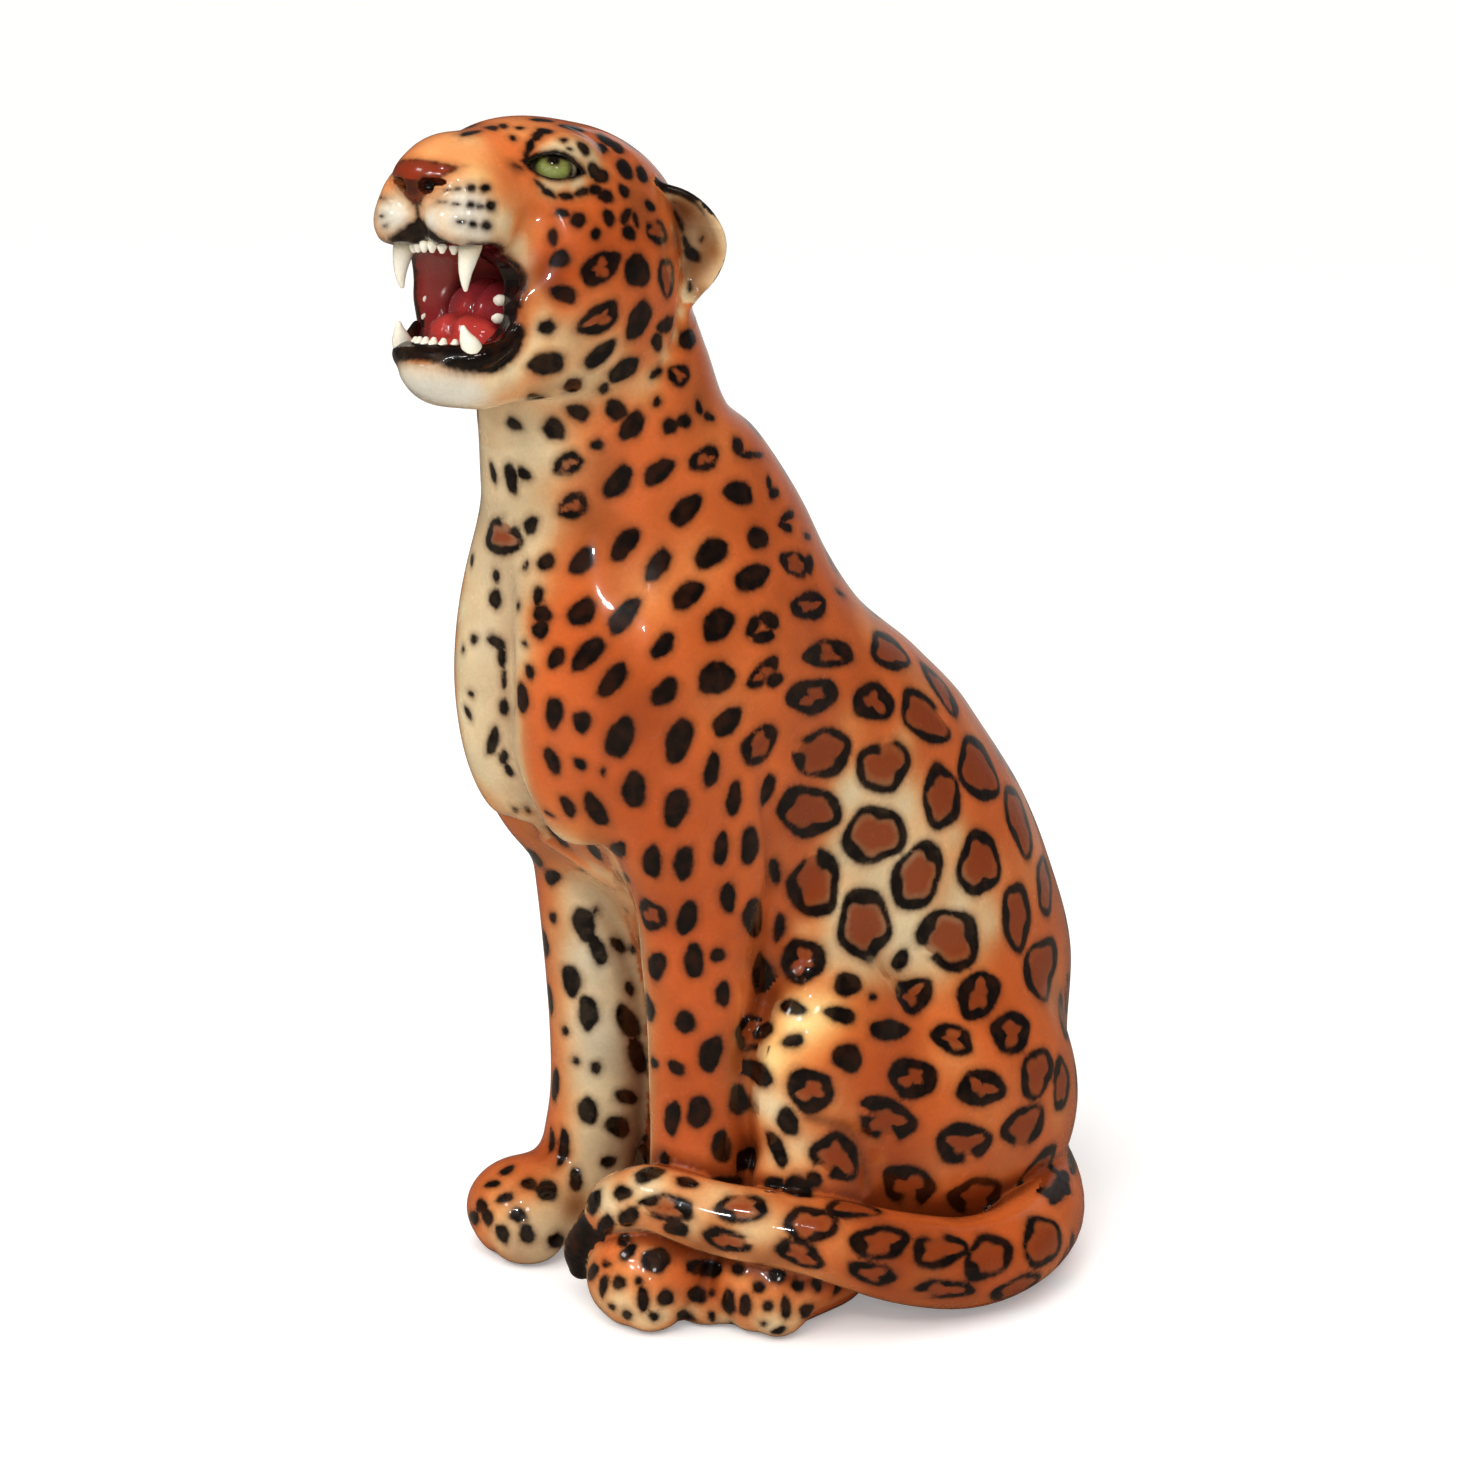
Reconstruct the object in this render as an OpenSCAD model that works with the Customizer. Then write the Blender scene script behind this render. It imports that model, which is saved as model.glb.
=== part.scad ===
// Sitting leopard, glazed earthenware floor statue.
// Hollow casts and hand-modelled pieces, luted to each other along cut faces.
// Millimetres. +Z is up, the animal faces -Y, its left side is +X.
// The origin is on the underside, at the middle of the footprint.

/* [Casting] */
// Wall thickness of the hollow casts
wall = 9; // [7:0.5:11]
// Thickness of the plate that closes the body below
base_t = 10; // [8:1:13]
// Diameter of the kiln vent in that plate
vent_d = 36; // [20:1:45]
// Slip gap around the plate and around the tooth roots
slip = 0.4; // [0.3:0.1:0.8]

/* [Body] */
// Height of the cut between body cast and head cast
neck_z = 640; // [632:1:648]
// Half width of the shoulders
shoulder_x = 76; // [72:1:80]
// Sideways place of the thighs
thigh_x = 106; // [102:1:110]

/* [Legs] */
// Sideways place of each foreleg
leg_x = 75; // [72:1:78]
// Radius of a foreleg at the wrist
wrist_r = 36; // [34:1:38]
// Half width of a front paw
paw_w = 42; // [39:1:45]
// Half width of a hind paw
hind_w = 42; // [39:1:45]

/* [Tail] */
// Radius of the tail where it leaves the rump
tail_root_r = 45; // [42:1:47]
// Radius of the tail near its tip
tail_tip_r = 27; // [25:1:29]

/* [Head] */
// Turn of the head to its left, degrees
head_yaw = 12; // [9:1:15]
// Lift of the nose, degrees
head_pitch = 14; // [11:1:17]
// Lean of the head, degrees
head_roll = 3; // [0:1:5]
// Radius of an eyeball
eye_r = 19; // [18:0.5:20]
// Visible length of an upper fang
fang_l = 27; // [24:1:30]
// Radius of an upper fang at the gum
fang_r = 7; // [6:0.5:8]

/* [Hidden] */
eps = 0.05;
glaze = "#c8743c";
cream = "#e6d6b4";
black = "#2a1c18";
tooth = "#f2ead8";
maroon = "#7a2430";

// Level slices of the body: height, middle (front to back), half width, half depth
BODY = [[0, 65, 127, 155], [60, 72, 138, 180], [130, 73, 139, 181],
        [200, 71, 138, 185], [270, 47, 129, 187], [340, 2, 118, 199],
        [400, -42, 112, 198], [450, -78, 108, 182], [500, -111, 104, 152],
        [540, -126, 99, 136], [580, -137, 93, 124], [620, -152, 88, 110],
        [660, -174, 84, 88], [700, -183, 80, 79], [740, -192, 74, 70], [780, -204, 60, 52]];
// Middle line of the tail: place and a share of the way from root radius to tip radius
TAIL = [[[20, 166, 42], 0.17], [[116, 146, 38], 0.44], [[170, 102, 35], 0.58], [[204, 44, 36], 0.7],
        [[204, -8, 38], 0.67], [[191, -62, 52], 0.65], [[164, -121, 74], 0.72],
        [[118, -167, 89], 0.8], [[74, -191, 93], 0.89], [[46, -201, 84], 1.1],
        [[24, -206, 54], 1.55], [[10, -207, 26], 1.9]];
// Outline of an ear in its own plane: across and up
EAR = [[-13, 46], [4, 35], [16, 24], [24, 11], [25, -3], [18, -20], [8, -31], [-2, -33], [-18, 0]];
head_o = [0, -215, 775];

// Hollows take fewer sides than outer faces
module disc(s, t) translate([0, s[1], s[0]])
    scale([s[2] - t, s[3] - t, 1]) cylinder(h = 0.1, r = 1, center = true, $fn = t > 0 ? 18 : 28);
module egg(c, r, a = 0, t = 0) hull() translate(c) rotate([a, 0, 0])
    scale([r[0] - t, r[1] - t, r[2] - t]) sphere(1, $fn = t > 0 ? 10 : 20);
module limb(a, ra, b, rb, n = 16) hull() {
    translate(a) sphere(ra, $fn = n);
    translate(b) sphere(rb, $fn = n);
}
module column(t) for (i = [0 : len(BODY) - 2]) hull() { disc(BODY[i], t); disc(BODY[i + 1], t); }
// Half space above or below a height
module above(z) translate([-500, -500, z]) cube([1000, 1000, 1000]);
module below(z) translate([-500, -500, z - 1000]) cube([1000, 1000, 1000]);

// Outer form of the body, or its hollow when t is the wall
module body_form(t = 0) {
    column(t);
    for (s = [-1, 1]) {
        egg([s * (thigh_x + 7), 44, 120], [71, 143, 116], -12, t);
        egg([s * (thigh_x + 15), s < 0 ? -54 : -64, 170], [46, 69, 95], 0, t);
        egg([s * (thigh_x + 22), s < 0 ? -56 : -84, 94], [37, 54, 72], 0, t);
        egg([s * shoulder_x, -152, 435], [48, 82, 135], 8, t);
        egg([s * 36, -222, 482], [44, 44, 118], -4, t);
    }
}
// The right foreleg leans out and stands a little further back than the left one
function leg_at(s) = [for (p = s > 0 ? [[72, -151, 400], [68, -143, 240], [63, -147, 70]]
    : [[-73, -139, 400], [-80, -123, 240], [-87, -126, 70]]) p + [s * (leg_x - 75), 0, 0]];
module foreleg_form(s, t = 0) {
    q = leg_at(s);
    limb(q[0], 48 - t, q[1], 40 - t);
    limb(q[1], 40 - t, q[2], wrist_r - t);
}
module toes(c, w, a) translate(c) rotate([0, 0, a])
    for (i = [-1.5 : 1 : 1.5]) hull() {
        translate([i * w * 0.5, -42 + 4 * i * i, 0]) sphere(18, $fn = 14);
        translate([i * w * 0.36, -4, 16]) sphere(23, $fn = 14);
    }
module front_paw_form(s) translate(s > 0 ? [60, -174, 0] : [-91, -171, 0])
    rotate([0, 0, s > 0 ? -10 : -22]) {
    egg([0, 0, 34], [paw_w + 1, 51, 38]);
    toes([0, 6, 18], paw_w, 0);
}
module hind_paw_form(s) translate(s > 0 ? [121, -110, 0] : [-132, -50, 0]) {
    egg([0, 0, 36], [hind_w + 1, 56, 43]);
    egg([0, 40, 46], [hind_w - 2, 44, 52]);
    toes([0, 2, 18], hind_w, 0);
}
function tail_r(k) = tail_root_r + (tail_tip_r - tail_root_r) * k;
module tail_form(t = 0, n = len(TAIL) - 2) for (i = [0 : n])
    limb(TAIL[i][0], tail_r(TAIL[i][1]) - t, TAIL[i + 1][0], tail_r(TAIL[i + 1][1]) - t, t > 0 ? 10 : 16);

// Head pieces are drawn in the head's own frame: x to its left, -y to the nose, z up
module head_place() translate(head_o) rotate([0, 0, head_yaw]) rotate([-head_pitch, 0, 0])
    rotate([0, -head_roll, 0]) children();
module skull_form(t = 0) {
    egg([0, 3, 5], [82, 95, 78], 0, t);
    egg([0, -46, 27], [60, 58, 49], 0, t);
    egg([0, -96, 24], [38, 46, 36], 0, t);
    egg([0, -126, 26], [27, 20, 17], 0, t);
    egg([0, -96, -4], [32, 40, 20], 0, t);
    for (s = [-1, 1]) {
        egg([s * 22, -110, -2], [27, 32, 23], 0, t);
        egg([s * 27, -104, 15], [20, 30, 21], 0, t);
        egg([s * 48, -12, -26], [38, 60, 60], 0, t);
        egg([s * 33, -46, -55], [24, 44, 48], 0, t);
    }
}
// Lower jaw with the roll of its lip
module jaw_form() {
    egg([0, -80, -96], [36, 44, 22], 0);
    for (s = [-1, 1]) {
        limb([s * 22, -78, -94], 19, [s * 44, -8, -64], 32);
        limb([0, -110, -89], 10.5, [s * 27, -103, -87], 9.5, 12);
        limb([s * 27, -103, -87], 9.5, [s * 41, -86, -76], 5.5, 12);
    }
}
// Open mouth: a cut through the face from side to side, and the throat behind it
module mouth_form(t = 0) {
    translate([0, -127, -54]) rotate([0, 0, -6]) egg([0, 0, 0], [200, 56, 37], 0, -t);
    egg([-6, -72, -51], [32, 64, 33], 0, -t);
}
// Outer form of neck, skull and cheeks
module head_form(t = 0) {
    column(t);
    head_place() skull_form(t);
}
// Fang along an axis from its gum point: root peg, tapered crown, rounded tip
module fang(p, r, l, ax, ay) head_place() translate(p) rotate([ax, ay, 0]) {
    translate([0, 0, -9]) cylinder(h = 9 + eps, r = r * 0.8, $fn = 40);
    cylinder(h = l, r1 = r, r2 = 1.4, $fn = 40);
    translate([0, 0, l]) sphere(1.4, $fn = 32);
}
module fang_room(p, r, ax, ay) head_place() translate(p) rotate([ax, ay, 0])
    translate([0, 0, -10]) cylinder(h = 10 + r * 2, r = (r + slip) / cos(180 / 14), $fn = 14);
UP = [28, -114, -17];
LO = [29, -101, -86];
module fang_rooms() for (s = [-1, 1]) {
    fang_room([s * UP[0], UP[1], UP[2]], fang_r, 176, 0);
    fang_room([s * LO[0], LO[1], LO[2]], fang_r - 0.5, 14, s * 4);
}
// Small teeth, pressed on as round pellets
module incisor(p, r) head_place() translate(p) sphere(r, $fn = 24);
module upper_row() for (i = [-2.5 : 1 : 2.5]) incisor([i * 7.6, -124 + 0.9 * i * i, -18], 3.7);
module lower_row() for (i = [-2.5 : 1 : 2.5]) incisor([i * 7.4, -113 + 0.9 * i * i, -85], 3.5);
module cheek_row(s) {
    q = s > 0 ? [30, -75] : [-42, -68];
    incisor([q[0], q[1], -46], 3.4);
    incisor([q[0], q[1], -58], 3.2);
}
// Sockets of the small teeth
module pellet_rooms() {
    for (i = [-2.5 : 1 : 2.5]) {
        pellet_room([i * 7.6, -124 + 0.9 * i * i, -18], 3.7);
        pellet_room([i * 7.4, -113 + 0.9 * i * i, -85], 3.5);
    }
    for (q = [[30, -75], [-42, -68]]) {
        pellet_room([q[0], q[1], -46], 3.4);
        pellet_room([q[0], q[1], -58], 3.2);
    }
}
module pellet_room(p, r) head_place() translate(p) sphere((r + slip) / cos(180 / 8), $fn = 8);
module eye_ball(s) head_place() translate([s * 41, -54, 40]) sphere(eye_r, $fn = 48);
module eye_room(s) head_place() translate([s * 41, -54, 40]) sphere((eye_r + slip) / cos(180 / 20), $fn = 20);
// Cupped ear, laid back, open to the front and outside
module ear_form(s) head_place() {
    if (s > 0) ear_flap();
    else mirror([1, 0, 0]) ear_flap();
}
module ear_flap() translate([81, 42, 5]) rotate([22, -12, 45]) difference() {
    hull() {
        for (p = EAR) translate([p[0], 0, p[1]]) sphere(5, $fn = 12);
        translate([0, 7, 1]) scale([16, 7, 26]) sphere(1, $fn = 16);
    }
    egg([2, -9, 2], [19, 12, 29]);
}
// Rounded oblong of the plate that closes the body
module plate(g, h) {
    translate([-90 - g, 18, 0]) cube([180 + 2 * g, 84, h]);
    for (y = [18, 102]) translate([0, y, 0]) cylinder(h = h, r = 90 + g, $fn = 72);
}

// ---- pieces ----

module base_slab() color(cream) difference() {
    plate(0, base_t);
    translate([0, 100, -1]) cylinder(h = base_t + 2, d = vent_d, $fn = 48);
}
module torso_shell() color(glaze) difference() {
    body_form();
    below(0);
    above(neck_z);
    // hollow, narrower at the floor so that a ledge sits on the plate
    difference() { body_form(wall); below(base_t + 16); }
    translate([0, 0, -1]) plate(-10, base_t + 24);
    translate([0, 0, -1]) plate(slip, base_t + 1);
}
module left_foreleg() color(glaze) difference() {
    union() { foreleg_form(1); front_paw_form(1); }
    foreleg_form(1, wall);
    body_form();
    below(0);
}
module right_foreleg() color(cream) difference() {
    union() { foreleg_form(-1); front_paw_form(-1); }
    foreleg_form(-1, wall);
    body_form();
    below(0);
}
module hind(s) difference() {
    hind_paw_form(s);
    body_form();
    foreleg_form(s);
    front_paw_form(s);
    below(0);
}
module left_hind_paw() color(glaze) hind(1);
module right_hind_paw() color(glaze) hind(-1);
module tail() color(glaze) difference() {
    tail_form();
    tail_form(wall, 7);
    body_form();
    foreleg_form(1);
    front_paw_form(1);
    hind_paw_form(1);
    below(0);
}
module head_shell() color(glaze) difference() {
    head_form();
    below(neck_z);
    difference() { head_form(wall); below(neck_z - 5); }
    head_place() mouth_form(5);
    for (s = [-1, 1]) eye_room(s);
    fang_rooms();
}
module lower_jaw() color(cream) difference() {
    head_place() jaw_form();
    head_form();
    head_place() mouth_form(5);
    fang_rooms();
    pellet_rooms();
}
module mouth_lining() color(maroon) difference() {
    intersection() {
        head_place() mouth_form(5);
        union() { head_form(); head_place() jaw_form(); }
    }
    head_place() mouth_form();
    fang_rooms();
    pellet_rooms();
}
module tongue() color("#a8303a") intersection() {
    head_place() mouth_form(-slip);
    head_place() for (i = [0 : 8]) hull() {
        translate([-12 - i * 0.5, -98 + i * 7, -82 + i * 3.4]) sphere(9 + i * 0.5, $fn = 12);
        translate([12 + i * 0.5, -98 + i * 7, -82 + i * 3.4]) sphere(9 + i * 0.5, $fn = 12);
    }
}
module left_ear() color(glaze) difference() { ear_form(1); head_form(); }
module right_ear() color(glaze) difference() { ear_form(-1); head_form(); }
module left_eye() color("#7f9a4c") eye_ball(1);
module right_eye() color("#7f9a4c") eye_ball(-1);
module upper_left_fang() color(tooth) fang([UP[0], UP[1], UP[2]], fang_r, fang_l, 176, 0);
module upper_right_fang() color(tooth) fang([-UP[0], UP[1], UP[2]], fang_r, fang_l, 176, 0);
module lower_left_fang() color(tooth) fang([LO[0], LO[1], LO[2]], fang_r - 0.5, fang_l - 8, 14, 4);
module lower_right_fang() color(tooth) fang([-LO[0], LO[1], LO[2]], fang_r - 0.5, fang_l - 8, 14, -4);
module upper_incisors() color(tooth) upper_row();
module lower_incisors() color(tooth) lower_row();
module left_cheek_teeth() color(tooth) cheek_row(1);
module right_cheek_teeth() color(tooth) cheek_row(-1);

base_slab();
torso_shell();
left_foreleg();
right_foreleg();
left_hind_paw();
right_hind_paw();
tail();
head_shell();
lower_jaw();
mouth_lining();
tongue();
left_ear();
right_ear();
left_eye();
right_eye();
upper_left_fang();
upper_right_fang();
lower_left_fang();
lower_right_fang();
upper_incisors();
lower_incisors();
left_cheek_teeth();
right_cheek_teeth();
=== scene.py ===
# Sitting leopard, glazed earthenware: modelled skins, hand-painted spots and glaze.
import math
import numpy as np
import bpy
from mathutils import Matrix, Vector


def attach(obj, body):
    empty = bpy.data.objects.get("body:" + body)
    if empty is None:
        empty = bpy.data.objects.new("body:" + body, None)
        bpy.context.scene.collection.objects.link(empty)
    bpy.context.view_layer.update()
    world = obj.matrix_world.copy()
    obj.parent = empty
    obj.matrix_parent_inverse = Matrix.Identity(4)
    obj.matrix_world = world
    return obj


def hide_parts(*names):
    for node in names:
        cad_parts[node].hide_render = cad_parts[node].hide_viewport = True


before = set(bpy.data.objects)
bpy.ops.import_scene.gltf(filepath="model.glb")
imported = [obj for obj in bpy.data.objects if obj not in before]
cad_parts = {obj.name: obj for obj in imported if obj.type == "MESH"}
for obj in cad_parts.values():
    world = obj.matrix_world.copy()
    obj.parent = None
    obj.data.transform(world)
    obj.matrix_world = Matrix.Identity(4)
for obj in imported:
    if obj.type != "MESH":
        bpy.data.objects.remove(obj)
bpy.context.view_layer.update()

BODY_VOX, HEAD_VOX = ((3.0, 1.5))
RNG = np.random.default_rng(7)


# ---------------------------------------------------------------- distance forms
def smin(a, b, k):
    h = np.clip(0.5 + 0.5 * (b - a) / k, 0, 1)
    return b + (a - b) * h - k * h * (1 - h)

def smax(a, b, k):
    return -smin(-a, -b, k)

def rot(axis, deg):
    a = math.radians(deg)
    c, s = math.cos(a), math.sin(a)
    return {"x": np.array([[1, 0, 0], [0, c, -s], [0, s, c]]),
            "y": np.array([[c, 0, s], [0, 1, 0], [-s, 0, c]]),
            "z": np.array([[c, -s, 0], [s, c, 0], [0, 0, 1]])}[axis]

def ell(P, c, r, R=None):
    x, y, z = P[0] - c[0], P[1] - c[1], P[2] - c[2]
    if R is not None:
        x, y, z = (R[0, 0] * x + R[1, 0] * y + R[2, 0] * z,
                   R[0, 1] * x + R[1, 1] * y + R[2, 1] * z,
                   R[0, 2] * x + R[1, 2] * y + R[2, 2] * z)
    k0 = np.sqrt((x / r[0]) ** 2 + (y / r[1]) ** 2 + (z / r[2]) ** 2) + 1e-9
    k1 = np.sqrt((x / r[0] ** 2) ** 2 + (y / r[1] ** 2) ** 2 + (z / r[2] ** 2) ** 2) + 1e-12
    return k0 * (k0 - 1) / k1

def cone(P, a, ra, b, rb):
    a, b = np.asarray(a, float), np.asarray(b, float)
    ba = b - a
    x, y, z = P[0] - a[0], P[1] - a[1], P[2] - a[2]
    h = np.clip((x * ba[0] + y * ba[1] + z * ba[2]) / (ba @ ba + 1e-12), 0, 1)
    d = np.sqrt((x - h * ba[0]) ** 2 + (y - h * ba[1]) ** 2 + (z - h * ba[2]) ** 2)
    return d - (ra + (rb - ra) * h)

def curve(pts, n=6):
    # smooth line through [((x, y, z), radius), ...]
    q = np.array([list(p) + [r] for p, r in pts], float)
    q = np.vstack([2 * q[0] - q[1], q, 2 * q[-1] - q[-2]])
    out = []
    for i in range(1, len(q) - 2):
        for t in np.arange(n) / n:
            a, b, c, d = q[i - 1], q[i], q[i + 1], q[i + 2]
            out.append(0.5 * (2 * b + (c - a) * t + (2 * a - 5 * b + 4 * c - d) * t * t
                              + (3 * b - a - 3 * c + d) * t ** 3))
    out.append(q[-2])
    return np.array(out)

def tube(P, line, far=60.0):
    # distance to a smooth tapering rope; far away only a rough value
    far = float(far)
    d = np.full(P[0].shape, far)
    lo = (line[:, :3] - line[:, 3:]).min(0) - far
    hi = (line[:, :3] + line[:, 3:]).max(0) + far
    i = np.nonzero((P[0] > lo[0]) & (P[0] < hi[0]) & (P[1] > lo[1]) & (P[1] < hi[1])
                   & (P[2] > lo[2]) & (P[2] < hi[2]))[0]
    if len(i):
        Q = [p[i] for p in P]
        e = np.full(len(i), far)
        for a, b in zip(line[:-1], line[1:]):
            m = 0.5 * (a[:3] + b[:3])
            w = 0.5 * np.linalg.norm(b[:3] - a[:3]) + max(a[3], b[3]) + far
            j = np.nonzero((np.abs(Q[0] - m[0]) < w) & (np.abs(Q[1] - m[1]) < w) & (np.abs(Q[2] - m[2]) < w))[0]
            if len(j):
                e[j] = np.minimum(e[j], cone([q[j] for q in Q], a[:3], a[3], b[:3], b[3]))
        d[i] = e
    return d

def pchip(x, xs, ys):
    xs, ys = np.asarray(xs, float), np.asarray(ys, float)
    h = np.diff(xs)
    m = np.diff(ys) / h
    d = np.zeros_like(ys)
    d[0], d[-1] = m[0], m[-1]
    for i in range(1, len(xs) - 1):
        if m[i - 1] * m[i] > 0:
            w1, w2 = 2 * h[i] + h[i - 1], h[i] + 2 * h[i - 1]
            d[i] = (w1 + w2) / (w1 / m[i - 1] + w2 / m[i])
    x = np.clip(x, xs[0], xs[-1])
    i = np.clip(np.searchsorted(xs, x, side="right") - 1, 0, len(xs) - 2)
    t = (x - xs[i]) / h[i]
    return (((1 + 2 * t) * (1 - t) ** 2) * ys[i] + (t * (1 - t) ** 2) * h[i] * d[i]
            + (t * t * (3 - 2 * t)) * ys[i + 1] + (t * t * (t - 1)) * h[i] * d[i + 1])

def loft(P, tab):
    t = np.asarray(tab, float)
    z = P[2]
    yc, wx, wy = (pchip(z, t[:, 0], t[:, i]) for i in (1, 2, 3))
    k0 = np.sqrt((P[0] / wx) ** 2 + ((P[1] - yc) / wy) ** 2)
    d = (k0 - 1) * np.minimum(wx, wy)
    return np.maximum(d, np.maximum(t[0, 0] - z, z - t[-1, 0]))

def melt(d, P, k, c, r, R=None):
    # blends an egg into d, only where it can matter
    w = max(r) + k + 12
    i = np.nonzero((np.abs(P[0] - c[0]) < w) & (np.abs(P[1] - c[1]) < w) & (np.abs(P[2] - c[2]) < w))[0]
    if len(i):
        d[i] = smin(d[i], ell([p[i] for p in P], c, r, R), k)

def scoop(d, P, k, c, r, R=None):
    # takes an egg out of d with a soft edge
    w = max(r) + k + 12
    i = np.nonzero((np.abs(P[0] - c[0]) < w) & (np.abs(P[1] - c[1]) < w) & (np.abs(P[2] - c[2]) < w))[0]
    if len(i):
        d[i] = smax(d[i], -ell([p[i] for p in P], c, r, R), k)

# ---------------------------------------------------------------- body, millimetres
# level slices: height, middle, half width, half depth
TORSO = [(-20, 64, 124, 152), (60, 75, 138, 184), (130, 73, 139, 181), (185, 72, 138, 186), (270, 48, 129, 187),
         (340, 2, 118, 199), (400, -42, 112, 198), (450, -78, 108, 182), (500, -111, 104, 152),
         (540, -126, 99, 136), (580, -137, 93, 124), (620, -152, 88, 110), (640, -161, 86, 101), (660, -174, 84, 88),
         (700, -183, 80, 79), (740, -192, 74, 70), (780, -204, 60, 52)]
LEG = {1: curve([((74, -154, 430), 48), ((72, -151, 360), 47), ((70, -147, 300), 43.5), ((68, -143, 230), 39.5),
                 ((66, -142, 165), 37), ((65, -143, 110), 35.5), ((63, -149, 60), 35.5)]),
       -1: curve([((-72, -143, 430), 48), ((-74, -136, 360), 47), ((-77, -128, 300), 43.5), ((-80, -123, 230), 39.5),
                  ((-82, -120, 165), 37), ((-84, -121, 110), 35.5), ((-88, -128, 60), 35.5)])}
FOOT = {1: (60, -174), -1: (-91, -171)}
TURN = {1: -10, -1: -22}
HIND = {1: (121, -110), -1: (-132, -50)}
TAILC = curve([((8, 166, 42), 42), ((60, 166, 40), 40), ((116, 146, 37), 37), ((170, 102, 34), 34.5), ((204, 43, 36), 32),
               ((204, -8, 38), 33), ((191, -62, 54), 32.5), ((164, -121, 79), 28.5), ((118, -167, 89), 26),
               ((74, -191, 97), 24), ((46, -201, 86), 22), ((33, -202, 70), 18.5), ((13, -209, 44), 14.5), ((9, -208, 26), 10)], 5)

def d_torso(P):
    d = loft(P, TORSO)
    for s in (1, -1):
        melt(d, P, 26, (s * 113, 41, 113), (71, 143, 116), rot("x", -12))
        melt(d, P, 24, (s * 84, -64 if s > 0 else -54, 268), (38, 50, 48))
        melt(d, P, 18, (s * 121, -64 if s > 0 else -54, 170), (46, 69, 95))
        melt(d, P, 40, (s * 76, -152, 435), (48, 82, 135), rot("x", 8))
        melt(d, P, 20, (s * 36, -222, 482), (44, 44, 118), rot("x", -4))
        melt(d, P, 5, (s * 128, -84 + (0 if s > 0 else 28), 94), (37, 54, 72))
    return d

def d_leg(P, s):
    d = tube(P, LEG[s], 80)
    x, y = FOOT[s]
    R = rot("z", TURN[s])
    melt(d, P, 18, (x, y, 34), (43, 51, 39 if s > 0 else 33), R)
    o = R @ np.array([0, -16, 0])
    melt(d, P, 12, (x + o[0], y + o[1], 36 if s > 0 else 32), (40, 37, 37 if s > 0 else 33), R)
    if s < 0:
        melt(d, P, 12, (-66, -196, 18), (20, 22, 18))
    for i in (-1.5, -0.5, 0.5, 1.5):
        o = R @ np.array([i * 19.5, -30 + 3.5 * i * i, 0])
        melt(d, P, 13, (x + o[0], y + o[1], 24), (14.5, 20, 24), R)
    return d

def d_hind(P, s):
    x, y = HIND[s]
    d = ell(P, (x, y, 36), (43, 56, 43))
    melt(d, P, 16, (x, y + 40, 46), (40, 44, 52))
    for i in (-1.5, -0.5, 0.5, 1.5):
        melt(d, P, 13, (x + i * 19.5, y - 34 + 3.5 * i * i, 25), (14.5, 20, 25))
    if s > 0:
        melt(d, P, 10, (92, -156, 15), (24, 25, 22))
    return d

def d_tail(P):
    return tube(P, TAILC, 60)

def body(P):
    d = d_torso(P)
    for s in (1, -1):
        d = smin(d, d_leg(P, s), 16)
        d = smin(d, d_hind(P, s), 6)
    return smin(d, d_tail(P), 4)

# ---------------------------------------------------------------- head, its own frame: x to its left, -y to the nose
HO = np.array([0.0, -215.0, 775.0])
HM = rot("z", 12) @ rot("x", -14) @ rot("y", -3)

def to_head(P):
    x, y, z = P[0] - HO[0], P[1] - HO[1], P[2] - HO[2]
    return [HM[0, i] * x + HM[1, i] * y + HM[2, i] * z for i in range(3)]

def from_head(q):
    return HO + HM @ np.asarray(q, float)

EYE_C = {s: np.array([s * 41.0, -54.0, 40.0]) for s in (1, -1)}
EYE_R = 19.0
def unit(v):
    v = np.asarray(v, float)
    return v / np.linalg.norm(v)
EYE_OUT = {s: unit((s * 0.62, -0.77, 0.12)) for s in (1, -1)}
EYE_LONG = {}
EYE_UP = {}
for s_ in (1, -1):
    l_ = np.array([s_ * 24.0, 27.0, -3.0])
    l_ -= EYE_OUT[s_] * (l_ @ EYE_OUT[s_])
    EYE_LONG[s_] = unit(l_)
    u_ = np.cross(EYE_LONG[s_], EYE_OUT[s_])
    EYE_UP[s_] = u_ if u_[2] > 0 else -u_

def almond(Q, s):
    # in-plane distance to the outline of the lid opening
    v = [Q[i] - EYE_C[s][i] for i in range(3)]
    a = v[0] * EYE_LONG[s][0] + v[1] * EYE_LONG[s][1] + v[2] * EYE_LONG[s][2]
    b = v[0] * EYE_UP[s][0] + v[1] * EYE_UP[s][1] + v[2] * EYE_UP[s][2]
    b = b - 0.06 * a
    up = np.sqrt(a * a + (b + 14.5) ** 2) - 23.0
    dn = np.sqrt(a * a + (b - 18.0) ** 2) - 25.0
    return smax(up, dn, 1.5), a, b

def d_skull(Q):
    d = ell(Q, (0, 3, 5), (82, 95, 78))
    melt(d, Q, 20, (0, -46, 27), (60, 58, 49))
    melt(d, Q, 16, (0, -96, 24), (38, 46, 36))
    for s in (1, -1):
        melt(d, Q, 9, (s * 22, -110, -2), (27, 32, 23))
        melt(d, Q, 12, (s * 27, -104, 15), (20, 30, 21))
        melt(d, Q, 24, (s * 48, -12, -26), (38, 60, 60))
        melt(d, Q, 20, (s * 33, -46, -55), (24, 44, 48))
        # brow ridge
        melt(d, Q, 10, (s * 40, -46, 56), (20, 18, 11), rot("z", s * 40))
    melt(d, Q, 14, (0, -106, 28), (27, 32, 21))
    melt(d, Q, 6, (0, -126, 26), (27, 20, 17))
    return d

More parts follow.
